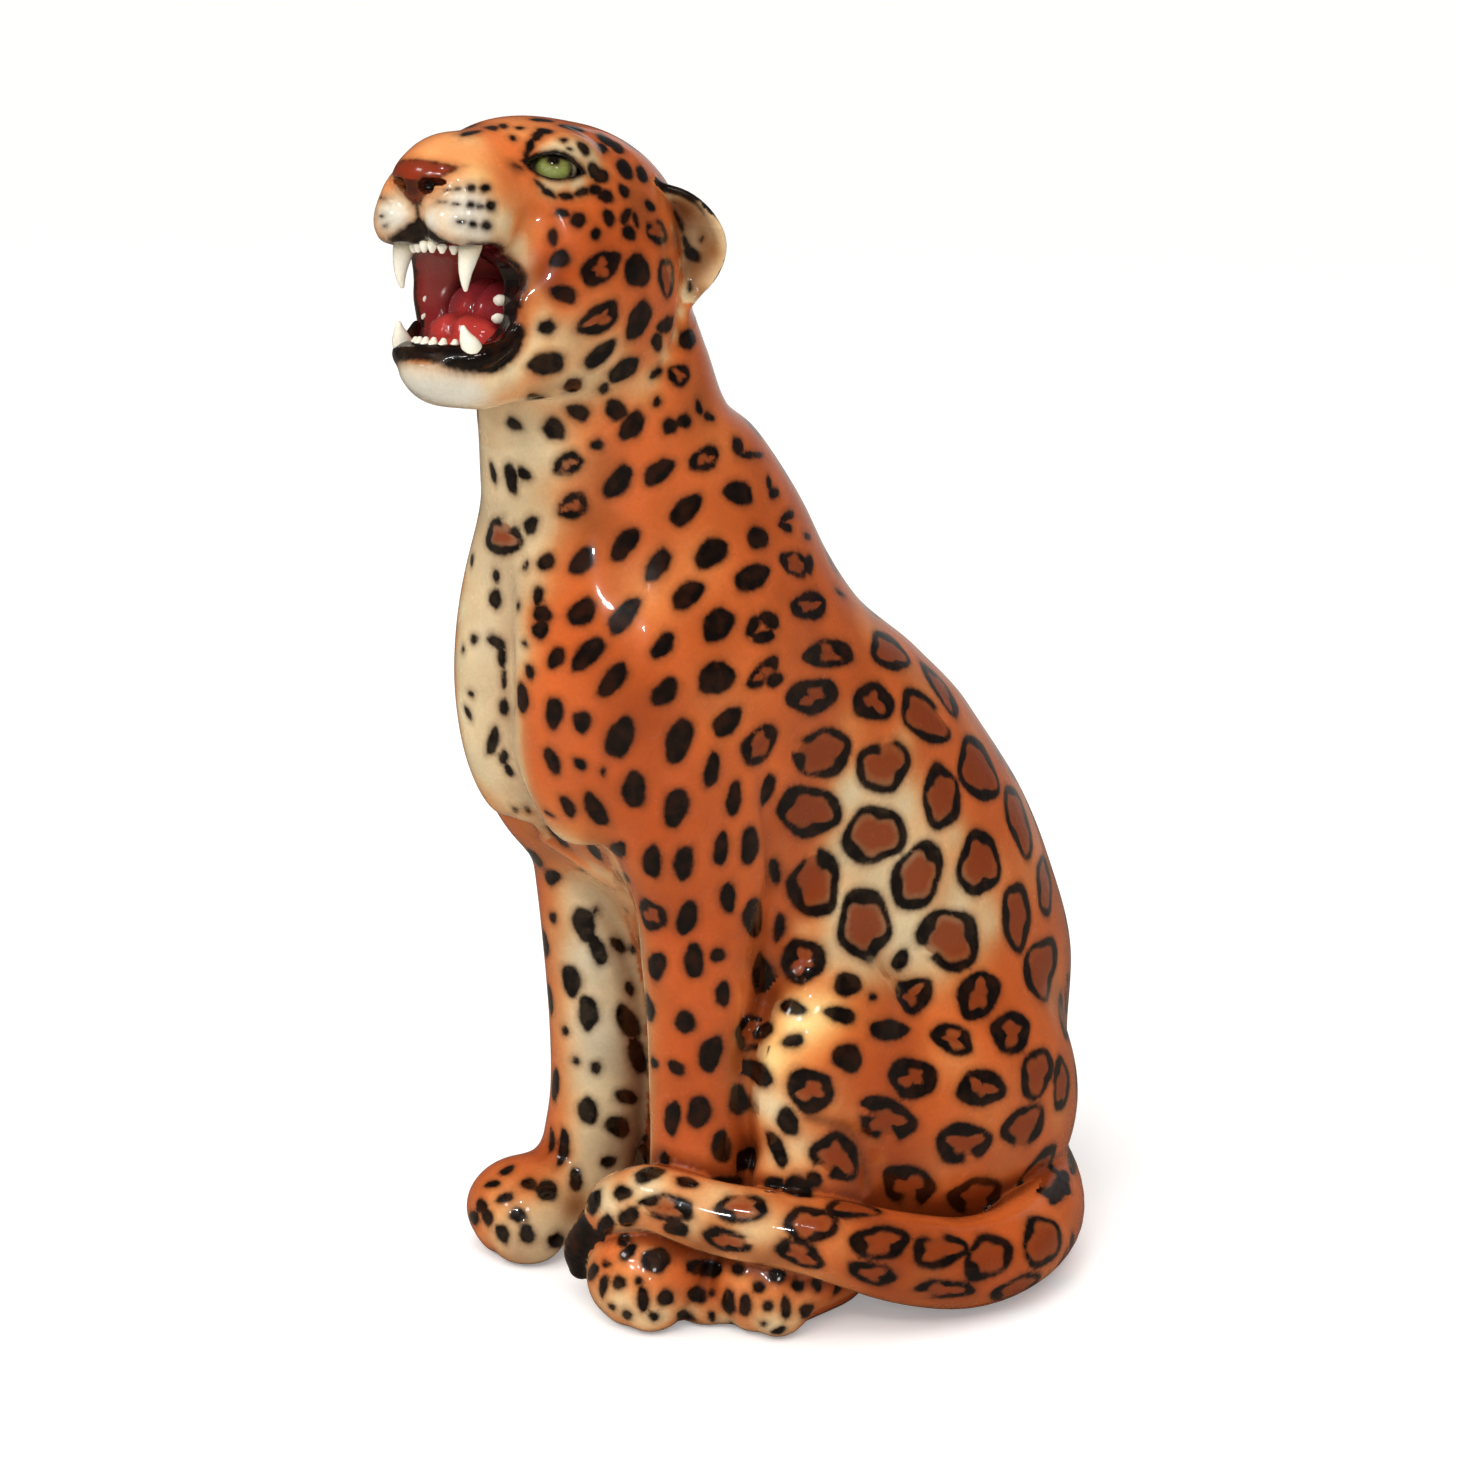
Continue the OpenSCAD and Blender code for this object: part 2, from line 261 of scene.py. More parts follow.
def d_jaw(Q):
    d = ell(Q, (0, -80, -96), (36, 44, 22))
    for s in (1, -1):
        d = smin(d, cone(Q, (s * 22, -78, -94), 19, (s * 44, -8, -64), 32), 14)
    return d

def d_mouth(Q):
    c = ell(Q, (0, -128, -54), (400, 56, 37), rot("z", -14))
    c = smin(c, ell(Q, (0, -98, -34), (400, 28, 20), rot("z", -14)), 5)
    return smin(c, ell(Q, (-6, -72, -51), (32, 64, 33)), 8)

LIPC = curve([((42, -80, -66), 3.5), ((41, -86, -76), 5.5), ((36, -95, -83), 7.5), ((27, -103, -87), 9.5), ((14, -108, -89), 10.5),
              ((0, -110, -89), 10.5), ((-14, -108, -89), 10.5), ((-27, -103, -87), 9.5), ((-36, -95, -83), 7.5),
              ((-41, -86, -76), 5.5), ((-42, -80, -66), 3.5)], 4)

# ears: a cupped flap; its outline in its own plane, across and up
EAR_AT = np.array([81.0, 42.0, 5.0])
EAR_UP = unit((0.12, -0.40, 0.9))
EAR_OUT = np.array([0.66, 0.74, 0.08])
EAR_OUT = unit(EAR_OUT - EAR_UP * (EAR_OUT @ EAR_UP))
EAR_OPEN = np.cross(EAR_OUT, EAR_UP)
EAR_LINE = curve([((a, b, 0), 0) for a, b in ((-16, 47), (5, 39), (19, 27), (27, 12), (28, -3), (21, -22), (9, -35), (-2, -37),
                                              (-16, -28), (-26, 0), (-29, 28), (-25, 43), (-16, 47))], 4)[:-1, :2]

def ear_frame(Q, s):
    x, y, z = s * Q[0] - EAR_AT[0], Q[1] - EAR_AT[1], Q[2] - EAR_AT[2]
    return [x * e[0] + y * e[1] + z * e[2] for e in (EAR_OUT, EAR_UP, EAR_OPEN)]

def outline(u, v, L):
    # signed distance to a closed flat line
    d = np.full(u.shape, 1e9)
    odd = np.zeros(u.shape, bool)
    for a, b in zip(L, np.roll(L, -1, 0)):
        e = b - a
        x, y = u - a[0], v - a[1]
        h = np.clip((x * e[0] + y * e[1]) / (e @ e + 1e-9), 0, 1)
        d = np.minimum(d, (x - h * e[0]) ** 2 + (y - h * e[1]) ** 2)
        if a[1] != b[1]:
            odd ^= ((a[1] > v) != (b[1] > v)) & (u < e[0] * (v - a[1]) / e[1] + a[0])
    return np.sqrt(d) * np.where(odd, -1, 1)

def d_ear(Q, s):
    u, v, t = ear_frame(Q, s)
    d = np.maximum(np.maximum(np.abs(u) - 31, np.abs(v - 6) - 48), np.abs(t + 4) - 16)
    i = np.nonzero(d < 14)[0]
    if len(i):
        f = outline(u[i], v[i], EAR_LINE)
        b = np.clip(-f / 20, 0, 1)
        mid = 3 - 14 * b * b * (3 - 2 * b) - 0.45 * np.maximum(0, v[i] - 14) - 0.3 * np.maximum(0, -v[i] - 10)
        half = 2.5 + 1.5 * np.exp(-(f / 5) ** 2)
        d[i] = smax(f + 1.0, (np.abs(t[i] - mid) - half) * 0.72, 3)
    return d

def head_skin(Q):
    # outer skin without the mouth
    d = d_skull(Q)
    d = smin(d, d_jaw(Q), 14)
    return smin(d, tube(Q, LIPC, 40), 5)

def head(Q):
    d = smin(d_skull(Q), d_jaw(Q), 14)
    d = smax(d, -d_mouth(Q), 4)
    d = smin(d, tube(Q, LIPC, 40), 4)
    for s in (1, -1):
        # lids over the eyeball, then the opening between them
        melt(d, Q, 5, EYE_C[s], (EYE_R + 2.2,) * 3)
        i = np.nonzero((np.abs(Q[0] - EYE_C[s][0]) < 36) & (np.abs(Q[1] - EYE_C[s][1]) < 36) & (np.abs(Q[2] - EYE_C[s][2]) < 36))[0]
        if len(i):
            q = [c[i] for c in Q]
            al, a, b = almond(q, s)
            v = [q[j] - EYE_C[s][j] for j in range(3)]
            fr = v[0] * EYE_OUT[s][0] + v[1] * EYE_OUT[s][1] + v[2] * EYE_OUT[s][2]
            d[i] = smax(d[i], -np.maximum(al, 6 - fr), 1.6)
        d = smin(d, d_ear(Q, s), 5)
        # nostrils
        scoop(d, Q, 1.6, (s * 10, -141, 19), (5.5, 7, 5), rot("z", s * 25))
        scoop(d, Q, 1.6, (s * 16, -137, 22), (7, 7, 2.6), rot("z", s * 40))
    # the upper lip is drawn up in the middle
    scoop(d, Q, 5, (0, -147, -15), (24, 10, 16))
    # groove from nose to lip
    g = cone(Q, (0, -143, 6), 1.2, (0, -139, -16), 1.8)
    return smax(d, -g, 1.8)

def field(P):
    b = body(P)
    h = np.full(b.shape, 300.0)
    i = np.nonzero(P[2] > 560)[0]
    if len(i):
        h[i] = head(to_head([p[i] for p in P]))
    d = smin(b, h, 18)
    # flat underside with a soft edge, and the kiln vent
    d = smax(d, -P[2], 5)
    i = np.nonzero(P[2] < 24)[0]
    if len(i):
        v = np.maximum(np.sqrt(P[0][i] ** 2 + (P[1][i] - 100) ** 2) - 18, P[2][i] - 11)
        d[i] = smax(d[i], -v, 2)
    return d

# ---------------------------------------------------------------- meshing
def sample(fn, lo, hi, vox, blk=8):
    lo, hi = np.asarray(lo, float), np.asarray(hi, float)
    nb = np.ceil((hi - lo) / (vox * blk)).astype(int)
    n = nb * blk + 1
    B = np.stack(np.meshgrid(*[np.arange(k) for k in nb], indexing="ij"), -1).reshape(-1, 3)
    ctr = lo + (B + 0.5) * blk * vox
    dc = fn([ctr[:, i].copy() for i in range(3)])
    reach = 0.87 * blk * vox * 1.35 + 3
    G = np.repeat(np.repeat(np.repeat(dc.reshape(nb), blk, 0), blk, 1), blk, 2).astype(np.float32)
    G = np.pad(G, ((0, 1),) * 3, mode="edge")
    act = B[np.abs(dc) < reach]
    o = np.stack(np.meshgrid(*[np.arange(blk + 1)] * 3, indexing="ij"), -1).reshape(-1, 3)
    for c in range(0, len(act), 400):
        idx = (act[c:c + 400, None] * blk + o[None]).reshape(-1, 3)
        p = lo + idx * vox
        G[idx[:, 0], idx[:, 1], idx[:, 2]] = fn([p[:, i].copy() for i in range(3)])
    return G, lo

def nets(G, lo, vox):
    S = G < 0
    c = np.zeros(tuple(k - 1 for k in G.shape), np.int8)
    cut = [slice(0, -1), slice(1, None)]
    for i in range(8):
        c += S[cut[i >> 2], cut[(i >> 1) & 1], cut[i & 1]]
    cell = np.argwhere((c > 0) & (c < 8))
    ids = np.full(c.shape, -1, np.int64)
    ids[tuple(cell.T)] = np.arange(len(cell))
    acc = np.zeros((len(cell), 3))
    cnt = np.zeros(len(cell))
    cor = np.array([[i >> 2, (i >> 1) & 1, i & 1] for i in range(8)])
    val = [G[tuple((cell + cor[i]).T)].astype(float) for i in range(8)]
    for i in range(8):
        for b in (4, 2, 1):
            if not i & b:
                j = i | b
                m = (val[i] < 0) != (val[j] < 0)
                t = val[i][m] / (val[i][m] - val[j][m])
                acc[m] += cor[i] + t[:, None] * (cor[j] - cor[i])
                cnt[m] += 1
    V = lo + vox * (cell + acc / cnt[:, None])
    quads = []
    for ax in range(3):
        u, v = (ax + 1) % 3, (ax + 2) % 3
        a = [slice(None)] * 3
        b = [slice(None)] * 3
        a[ax], b[ax] = slice(0, -1), slice(1, None)
        e = np.argwhere(S[tuple(a)] != S[tuple(b)])
        e = e[(e[:, u] > 0) & (e[:, v] > 0) & (e[:, u] < G.shape[u] - 1) & (e[:, v] < G.shape[v] - 1)]
        du, dv = np.eye(3, dtype=int)[u], np.eye(3, dtype=int)[v]
        q = np.stack([ids[tuple((e - du - dv).T)], ids[tuple((e - dv).T)], ids[tuple(e.T)], ids[tuple((e - du).T)]], 1)
        flip = ~S[tuple(e.T)]
        q[flip] = q[flip][:, ::-1]
        quads.append(q)
    Q = np.vstack(quads)
    return V, Q

def grad(fn, V, e=0.4):
    g = np.zeros_like(V)
    for i in range(3):
        a, b = V.copy(), V.copy()
        a[:, i] += e
        b[:, i] -= e
        g[:, i] = (fn(list(a.T)) - fn(list(b.T))) / (2 * e)
    return g

def onto(fn, V, vox, rounds=3):
    for _ in range(rounds):
        f = fn(list(V.T))
        g = grad(fn, V)
        n2 = np.maximum((g * g).sum(1), 0.05)
        V = V - np.clip(f / n2, -vox, vox)[:, None] * g
    g = grad(fn, V)
    return V, g / (np.linalg.norm(g, axis=1, keepdims=True) + 1e-12)

def tris(V, Q):
    a = ((V[Q[:, 0]] - V[Q[:, 2]]) ** 2).sum(1)
    b = ((V[Q[:, 1]] - V[Q[:, 3]]) ** 2).sum(1)
    k = a <= b
    T = np.vstack([Q[k][:, [0, 1, 2]], Q[k][:, [0, 2, 3]], Q[~k][:, [0, 1, 3]], Q[~k][:, [1, 2, 3]]])
    return T

# ---------------------------------------------------------------- view of the photograph, millimetres
AZ, EL, DIST, FOC = math.radians(50), math.radians(16), 2500.0, 3414.0
BACK = np.array([math.sin(AZ) * math.cos(EL), -math.cos(AZ) * math.cos(EL), math.sin(EL)])
POS = np.array([0.0, -60.0, 407.0]) + BACK * DIST
RIGHT = np.array([math.cos(AZ), math.sin(AZ), 0.0])
UP = np.cross(RIGHT, -BACK)

def rays(xy):
    xy = np.asarray(xy, float).reshape(-1, 2)
    d = -BACK + np.outer((xy[:, 0] - 728.5) / FOC, RIGHT) - np.outer((xy[:, 1] - 728.5) / FOC, UP)
    return d / np.linalg.norm(d, axis=1, keepdims=True)

def cast(xy, fn):
    # where the lines of sight through these places meet the form
    D = rays(xy)
    t = np.full(len(D), 1950.0)
    best, tb = np.full(len(D), 1e9), t.copy()
    for _ in range(100):
        d = fn(list((POS + t[:, None] * D).T))
        k = np.abs(d) < best
        best[k], tb[k] = np.abs(d[k]), t[k]
        t = np.minimum(t + np.clip(d * 0.7, -3, 40), 3200)
    return POS + tb[:, None] * D, best < 5

def project(P):
    q = P - POS
    z = q @ -BACK
    return 728.5 + FOC * (q @ RIGHT) / z, 728.5 - FOC * (q @ UP) / z, z

def is_head(P):
    q = list(np.asarray(P, float).T)
    k = q[2] > 600
    h = np.zeros(len(k), bool)
    if k.any():
        q = [c[k] for c in q]
        h[k] = head(to_head(q)) < body(q)
    return h

def flip(p, v, on_head):
    # the same places and directions on the other half
    m = np.array([-1.0, 1.0, 1.0])
    a, b = ((p - HO) @ HM * m) @ HM.T + HO, (v @ HM * m) @ HM.T
    k = on_head[:, None]
    return np.where(k, a, p * m), np.where(k, b, v * m)

def settle(P, rounds=6):
    # nearest places on the form
    return onto(base_field, np.array(P, float), 8.0, rounds)

# modelled creases and ridges: places in the photograph, depth (minus for a ridge), half width, other side too
FOLDS = [
    ([(760, 735), (768, 800), (776, 870), (782, 930), (778, 985)], 5.0, 9, True),
    ([(818, 1118), (845, 1130), (866, 1142), (871, 1165), (866, 1196)], 5.0, 7, True),
    ([(684, 262), (684, 300), (680, 335), (668, 362), (650, 386)], 4.0, 6, True),
    ([(508, 560), (507, 620), (508, 690), (512, 740)], 3.5, 8, False),
    ([(505, 795), (545, 838), (590, 868), (618, 893)], -3.0, 7, False),
    ([(560, 870), (600, 900), (622, 935), (634, 985)], 3.0, 8, False),
    ([(700, 690), (728, 740), (742, 800)], 2.5, 14, True),
    ([(640, 560), (690, 600), (740, 640), (780, 700)], 2.0, 18, True),
    ([(470, 790), (500, 800), (540, 845)], 2.5, 8, False),
]

def near_line(Q, pts):
    r = np.full(Q[0].shape, 1e9)
    s = np.zeros(Q[0].shape)
    n = len(pts) - 1
    for k, (a, b) in enumerate(zip(pts[:-1], pts[1:])):
        ba = b - a
        x, y, z = Q[0] - a[0], Q[1] - a[1], Q[2] - a[2]
        h = np.clip((x * ba[0] + y * ba[1] + z * ba[2]) / (ba @ ba + 1e-9), 0, 1)
        d = np.sqrt((x - h * ba[0]) ** 2 + (y - h * ba[1]) ** 2 + (z - h * ba[2]) ** 2)
        m = d < r
        r[m] = d[m]
        s[m] = (k + h[m]) / n
    return r, s

LINES = []
base_field = field

def field(P):
    d = base_field(P)
    for pts, h, w in LINES:
        lo, hi = pts.min(0) - 2.6 * w, pts.max(0) + 2.6 * w
        i = np.nonzero((P[0] > lo[0]) & (P[0] < hi[0]) & (P[1] > lo[1]) & (P[1] < hi[1]) & (P[2] > lo[2]) & (P[2] < hi[2]))[0]
        if len(i):
            r, s = near_line([p[i] for p in P], pts)
            d[i] += h * np.exp(-(r / w) ** 2) * np.clip(np.minimum(s, 1 - s) * 4, 0, 1)
    return d

PTS_, OK_ = cast([p for f in FOLDS for p in f[0]], base_field)
MIR_ = settle(flip(PTS_, PTS_, is_head(PTS_))[0])[0]
at_ = 0
for xy, h_, w_, both in FOLDS:
    k_ = np.arange(at_, at_ + len(xy))
    at_ += len(xy)
    k_ = k_[OK_[k_]]
    if len(k_) > 1:
        LINES.append((PTS_[k_], h_, w_))
        if both:
            LINES.append((MIR_[k_], h_, w_))

# ---------------------------------------------------------------- skins, cut along the joints
def edges_of(T):
    E = np.vstack([T[:, [0, 1]], T[:, [1, 2]], T[:, [2, 0]]])
    return np.unique(np.sort(E, 1), axis=0)

def seam(V, T, phi, held):
    # draws the vertices beside a joint line onto it, then tells the two sides apart
    f0 = phi.copy()
    E = edges_of(T)
    a, b = E[:, 0], E[:, 1]
    x = (phi[a] < 0) != (phi[b] < 0)
    a, b = a[x], b[x]
    t = phi[a] / (phi[a] - phi[b])
    first = np.where(held[a], False, np.where(held[b], True, t < 0.5))
    who = np.where(first, a, b)
    free = ~held[who]
    who, aim = who[free], (V[a] + (V[b] - V[a]) * t[:, None])[free]
    acc, cnt = np.zeros_like(V), np.zeros(len(V))
    np.add.at(acc, who, aim)
    np.add.at(cnt, who, 1)
    m = cnt > 0
    V[m] = acc[m] / cnt[m, None]
    held[m] = True
    sign = np.where(m, 0.0, phi)
    s = sign[T].sum(1)
    return np.where((sign[T] == 0).all(1), f0[T].sum(1), s) < 0

def groups(n, a, b):
    p = np.arange(n)
    while True:
        q = p.copy()
        m = np.minimum(p[a], p[b])
        np.minimum.at(q, p[a], m)
        np.minimum.at(q, p[b], m)
        q = q[q]
        q = q[q]
        if (q == p).all():
            return p
        p = q

def face_pairs(T):
    E = np.sort(np.vstack([T[:, [0, 1]], T[:, [1, 2]], T[:, [2, 0]]]), 1)
    f = np.tile(np.arange(len(T)), 3)
    key = E[:, 0].astype(np.int64) * (T.max() + 1) + E[:, 1]
    o = np.argsort(key, kind="stable")
    k, f = key[o], f[o]
    s = np.nonzero(k[:-1] == k[1:])[0]
    return f[s], f[s + 1]

def tidy(T, lab):
    # drops islands and places where a piece would hang by one point
    fa, fb = face_pairs(T)
    for _ in range(3):
        same = lab[fa] == lab[fb]
        g = groups(len(T), fa[same], fb[same])
        size = np.bincount(g, minlength=len(T))
        best = {}
        for l in np.unique(lab):
            i = np.nonzero(lab == l)[0]
            best[l] = g[i[np.argmax(size[g[i]])]]
        keep = np.array([best[l] for l in range(lab.max() + 1)] if lab.max() + 1 == len(best)
                        else [best.get(l, -1) for l in range(lab.max() + 1)])
        lost = g != keep[lab]
        if not lost.any():
            break
        for _ in range(400):
            i = lost[fa] & ~lost[fb]
            j = lost[fb] & ~lost[fa]
            if not (i.any() or j.any()):
                break
            lab[fa[i]] = lab[fb[i]]
            lab[fb[j]] = lab[fa[j]]
            lost[fa[i]] = False
            lost[fb[j]] = False
    n = T.max() + 1
    K = lab.max() + 1
    for _ in range(20):
        E = np.vstack([T[:, [0, 1]], T[:, [1, 2]], T[:, [2, 0]]])
        L = np.tile(lab, 3)
        own = np.sort((E[:, 0].astype(np.int64) * n + E[:, 1]) * K + L)
        rev = (E[:, 1].astype(np.int64) * n + E[:, 0]) * K + L
        rim = own[np.clip(np.searchsorted(own, rev), 0, len(own) - 1)] != rev
        at = E[rim, 0].astype(np.int64) * K + L[rim]
        u, c = np.unique(at, return_counts=True)
        bad = u[c > 1] // K
        if not len(bad):
            break
        hit = np.isin(T, bad)
        for v in np.unique(bad):
            f = np.nonzero((T == v).any(1))[0]
            lab[f] = np.bincount(lab[f]).argmax()
    return lab

def skin(fn, lo, hi, vox):
    G, o = sample(fn, lo, hi, vox)
    V, Q = nets(G, o, vox)
    V, _ = onto(fn, V, vox)
    return V, tris(V, Q)

def drop(V, T):
    u, inv = np.unique(T, return_inverse=True)
    return V[u], inv.reshape(T.shape)

NECK = 640.0
BODY_NAMES = ["torso_shell", "tail", "left_hind_paw", "right_hind_paw", "left_foreleg", "right_foreleg", "base_slab"]
HEAD_NAMES = ["head_shell", "left_ear", "right_ear", "mouth_lining", "lower_jaw"]

def make_body():
    V, T = skin(field, (-190, -272, -9), (256, 262, NECK + 3 * BODY_VOX), BODY_VOX)
    held = np.zeros(len(V), bool)
    low = seam(V, T, V[:, 2] - NECK, held)
    V[held, 2] = NECK
    keep = np.unique(T[low])
    back = np.full(len(V), -1)
    back[keep] = np.arange(len(keep))
    T, V, held = back[T[low]], V[keep], held[keep]
    P = list(V.T)
    dt, tl = d_torso(P), d_tail(P)
    lg = {s: d_leg(P, s) for s in (1, -1)}
    hd = {s: d_hind(P, s) for s in (1, -1)}
    trunk = np.minimum(dt, np.minimum(lg[1], lg[-1]))
    lab = np.zeros(len(T), int)
    plate = np.sqrt(V[:, 0] ** 2 + (V[:, 1] - np.clip(V[:, 1], 18, 102)) ** 2) - 90
    for k, phi in ((6, np.maximum(plate, V[:, 2] - 13)),
                   (1, tl - np.minimum(trunk, np.minimum(hd[1], hd[-1]))),
                   (2, hd[1] - np.minimum(trunk, tl)),
                   (3, hd[-1] - np.minimum(trunk, tl)),
                   (4, np.maximum(lg[1] - dt, V[:, 2] - 372)),
                   (5, np.maximum(lg[-1] - dt, V[:, 2] - 372))):
        s = seam(V, T, phi, held)
        lab[s & (lab == 0)] = k
    return V, T, tidy(T, lab)

def make_head():
    V, T = skin(field, (-118, -372, NECK - 3 * HEAD_VOX), (122, -66, 872), HEAD_VOX)
    held = np.zeros(len(V), bool)
    high = seam(V, T, NECK - V[:, 2], held)
    V[held, 2] = NECK
    keep = np.unique(T[high])
    back = np.full(len(V), -1)
    back[keep] = np.arange(len(keep))
    T, V, held = back[T[high]], V[keep], held[keep]
    Q = to_head(list(V.T))
    sk = head_skin(Q)
    rest = np.minimum(sk, body(list(V.T)))
    lab = np.zeros(len(T), int)
    for k, phi in ((1, d_ear(Q, 1) - rest), (2, d_ear(Q, -1) - rest),
                   (3, np.maximum(15 + sk, Q[2] + 8)),
                   (4, np.maximum(Q[2] + 64 + 0.8 * (Q[1] + 80), Q[1] + 8))):
        s = seam(V, T, phi, held)
        lab[s & (lab == 0)] = k
    return V, T, tidy(T, lab)

# ---------------------------------------------------------------- painted marks
# Places are in the photograph's frame. Each dab: middle, half length, half width, turn in degrees.
SPOTS = [
    (553,237,9,6,85), (562,213,8,5,18), (578,220,9,8,69), (596,234,7,6,88), (609,218,10,6,77), (624,191,8,5,52), (626,216,10,5,114),
    (629,233,9,7,50), (636,220,9,3,73), (650,206,8,4,52), (560,259,11,10,142), (564,294,15,9,21), (638,271,18,13,76), (547,327,9,8,175),
    (600,355,20,9,134), (639,320,21,11,116), (657,342,10,6,93), (666,325,11,7,134), (689,339,11,8,88), (536,399,11,5,16), (547,364,19,12,177),
    (573,386,10,7,168), (578,412,13,8,26), (604,388,7,5,117), (616,410,12,11,21), (624,370,19,9,139), (656,373,9,4,137), (657,402,6,4,99),
    (699,408,8,4,77), (709,417,7,4,32), (493,473,12,3,79), (511,478,16,7,80), (514,424,9,6,40), (524,474,9,6,37), (554,429,12,11,74),
    (597,445,7,6,17), (632,426,17,11,132), (659,472,18,11,137), (670,426,9,8,80), (684,421,8,8,174), (738,446,10,6,78), (752,455,12,4,1),
    (531,525,11,7,115), (618,482,21,11,130), (686,510,20,12,133), (739,493,16,12,16), (758,538,12,11,43), (769,483,7,3,84), (774,493,6,6,177),
    (786,527,8,5,36), (788,516,8,5,147), (807,536,5,3,32), (472,560,7,2,96), (495,599,10,7,86), (496,576,7,4,88), (526,566,6,3,108),
    (538,596,10,6,97), (546,562,11,8,130), (582,561,16,11,131), (625,544,20,11,129), (658,565,20,10,125), (688,595,19,12,146), (712,553,20,13,144),
    (753,577,19,13,159), (809,564,10,5,91), (840,593,7,2,36), (463,650,4,2,90), (474,639,6,4,84), (496,642,11,6,30), (502,658,11,5,86),
    (518,606,5,2,96), (525,644,4,3,82), (540,630,10,9,132), (542,614,10,10,168), (556,658,13,8,118), (582,612,18,12,137), (588,654,21,12,134),
    (624,616,22,11,128), (663,646,17,9,130), (718,625,20,14,124), (753,626,13,6,111), (764,637,12,7,163), (770,620,12,8,37), (468,713,8,3,64),
    (471,694,4,3,60), (504,679,10,3,87), (504,707,10,5,88), (522,698,17,6,86), (530,672,8,5,78), (554,713,17,9,89), (613,680,20,11,126),
    (665,692,18,11,128), (717,678,20,16,140), (775,680,10,7,132), (493,741,15,6,101), (504,757,8,5,92), (509,770,8,4,62), (552,761,16,7,64),
    (580,764,8,6,44), (582,722,12,10,110), (603,772,5,3,96), (620,738,22,14,108), (679,741,23,14,107), (712,770,18,8,100), (727,722,18,12,130),
    (515,810,4,2,61), (528,810,5,2,51), (549,814,6,2,30), (568,807,13,6,61), (596,810,20,9,60), (634,790,20,12,92), (676,808,22,12,104),
    (734,799,18,8,99), (767,789,16,7,108), (582,870,4,2,26), (595,851,11,5,52), (618,850,9,7,39), (625,877,6,4,47), (652,862,17,10,93),
    (684,863,19,10,96), (721,849,17,8,98), (728,898,17,8,88), (750,846,21,9,98), (774,871,14,6,79), (545,944,14,4,86), (553,918,6,4,70),
    (584,924,17,12,74), (596,911,5,3,70), (598,950,18,8,66), (618,945,10,6,52), (626,910,3,2,67), (633,949,6,3,75), (687,918,18,11,103),
    (718,955,8,8,101), (754,918,21,9,95), (779,927,16,6,100), (550,999,17,3,84), (571,981,18,9,82), (588,1013,19,10,88), (630,989,8,5,71),
    (648,1008,15,6,85), (656,966,14,10,102), (694,961,19,10,87), (723,994,13,8,96), (759,974,21,8,90), (565,1031,5,4,74), (576,1061,5,4,58),
    (596,1068,7,6,63), (628,1022,19,10,67), (637,1056,20,8,76), (654,1063,6,4,70), (676,1068,10,7,47), (685,1022,13,10,76), (711,1054,19,12,104),
    (758,1073,16,10,52), (555,1085,16,4,94), (588,1111,15,10,76), (619,1127,13,11,41), (627,1097,11,8,16), (672,1118,17,9,95), (699,1112,18,12,99),
    (738,1100,16,10,96), (552,1140,13,3,88), (564,1146,18,6,93), (576,1180,13,7,85), (609,1162,9,6,161), (645,1140,5,3,101), (646,1156,9,5,79),
    (665,1160,10,5,80), (722,1147,18,10,86), (752,1156,16,10,23), (777,1148,20,8,64), (535,858,12,5,55), (552,877,9,7,30), (900,960,12,8,125),
    (848,984,14,13,17), (873,997,5,4,150), (841,1015,16,9,19), (792,1007,14,8,10), (764,1031,11,7,140), (793,1041,12,7,170), (890,1030,19,11,5),
    (848,1058,17,14,30), (788,1122,15,11,58),
]
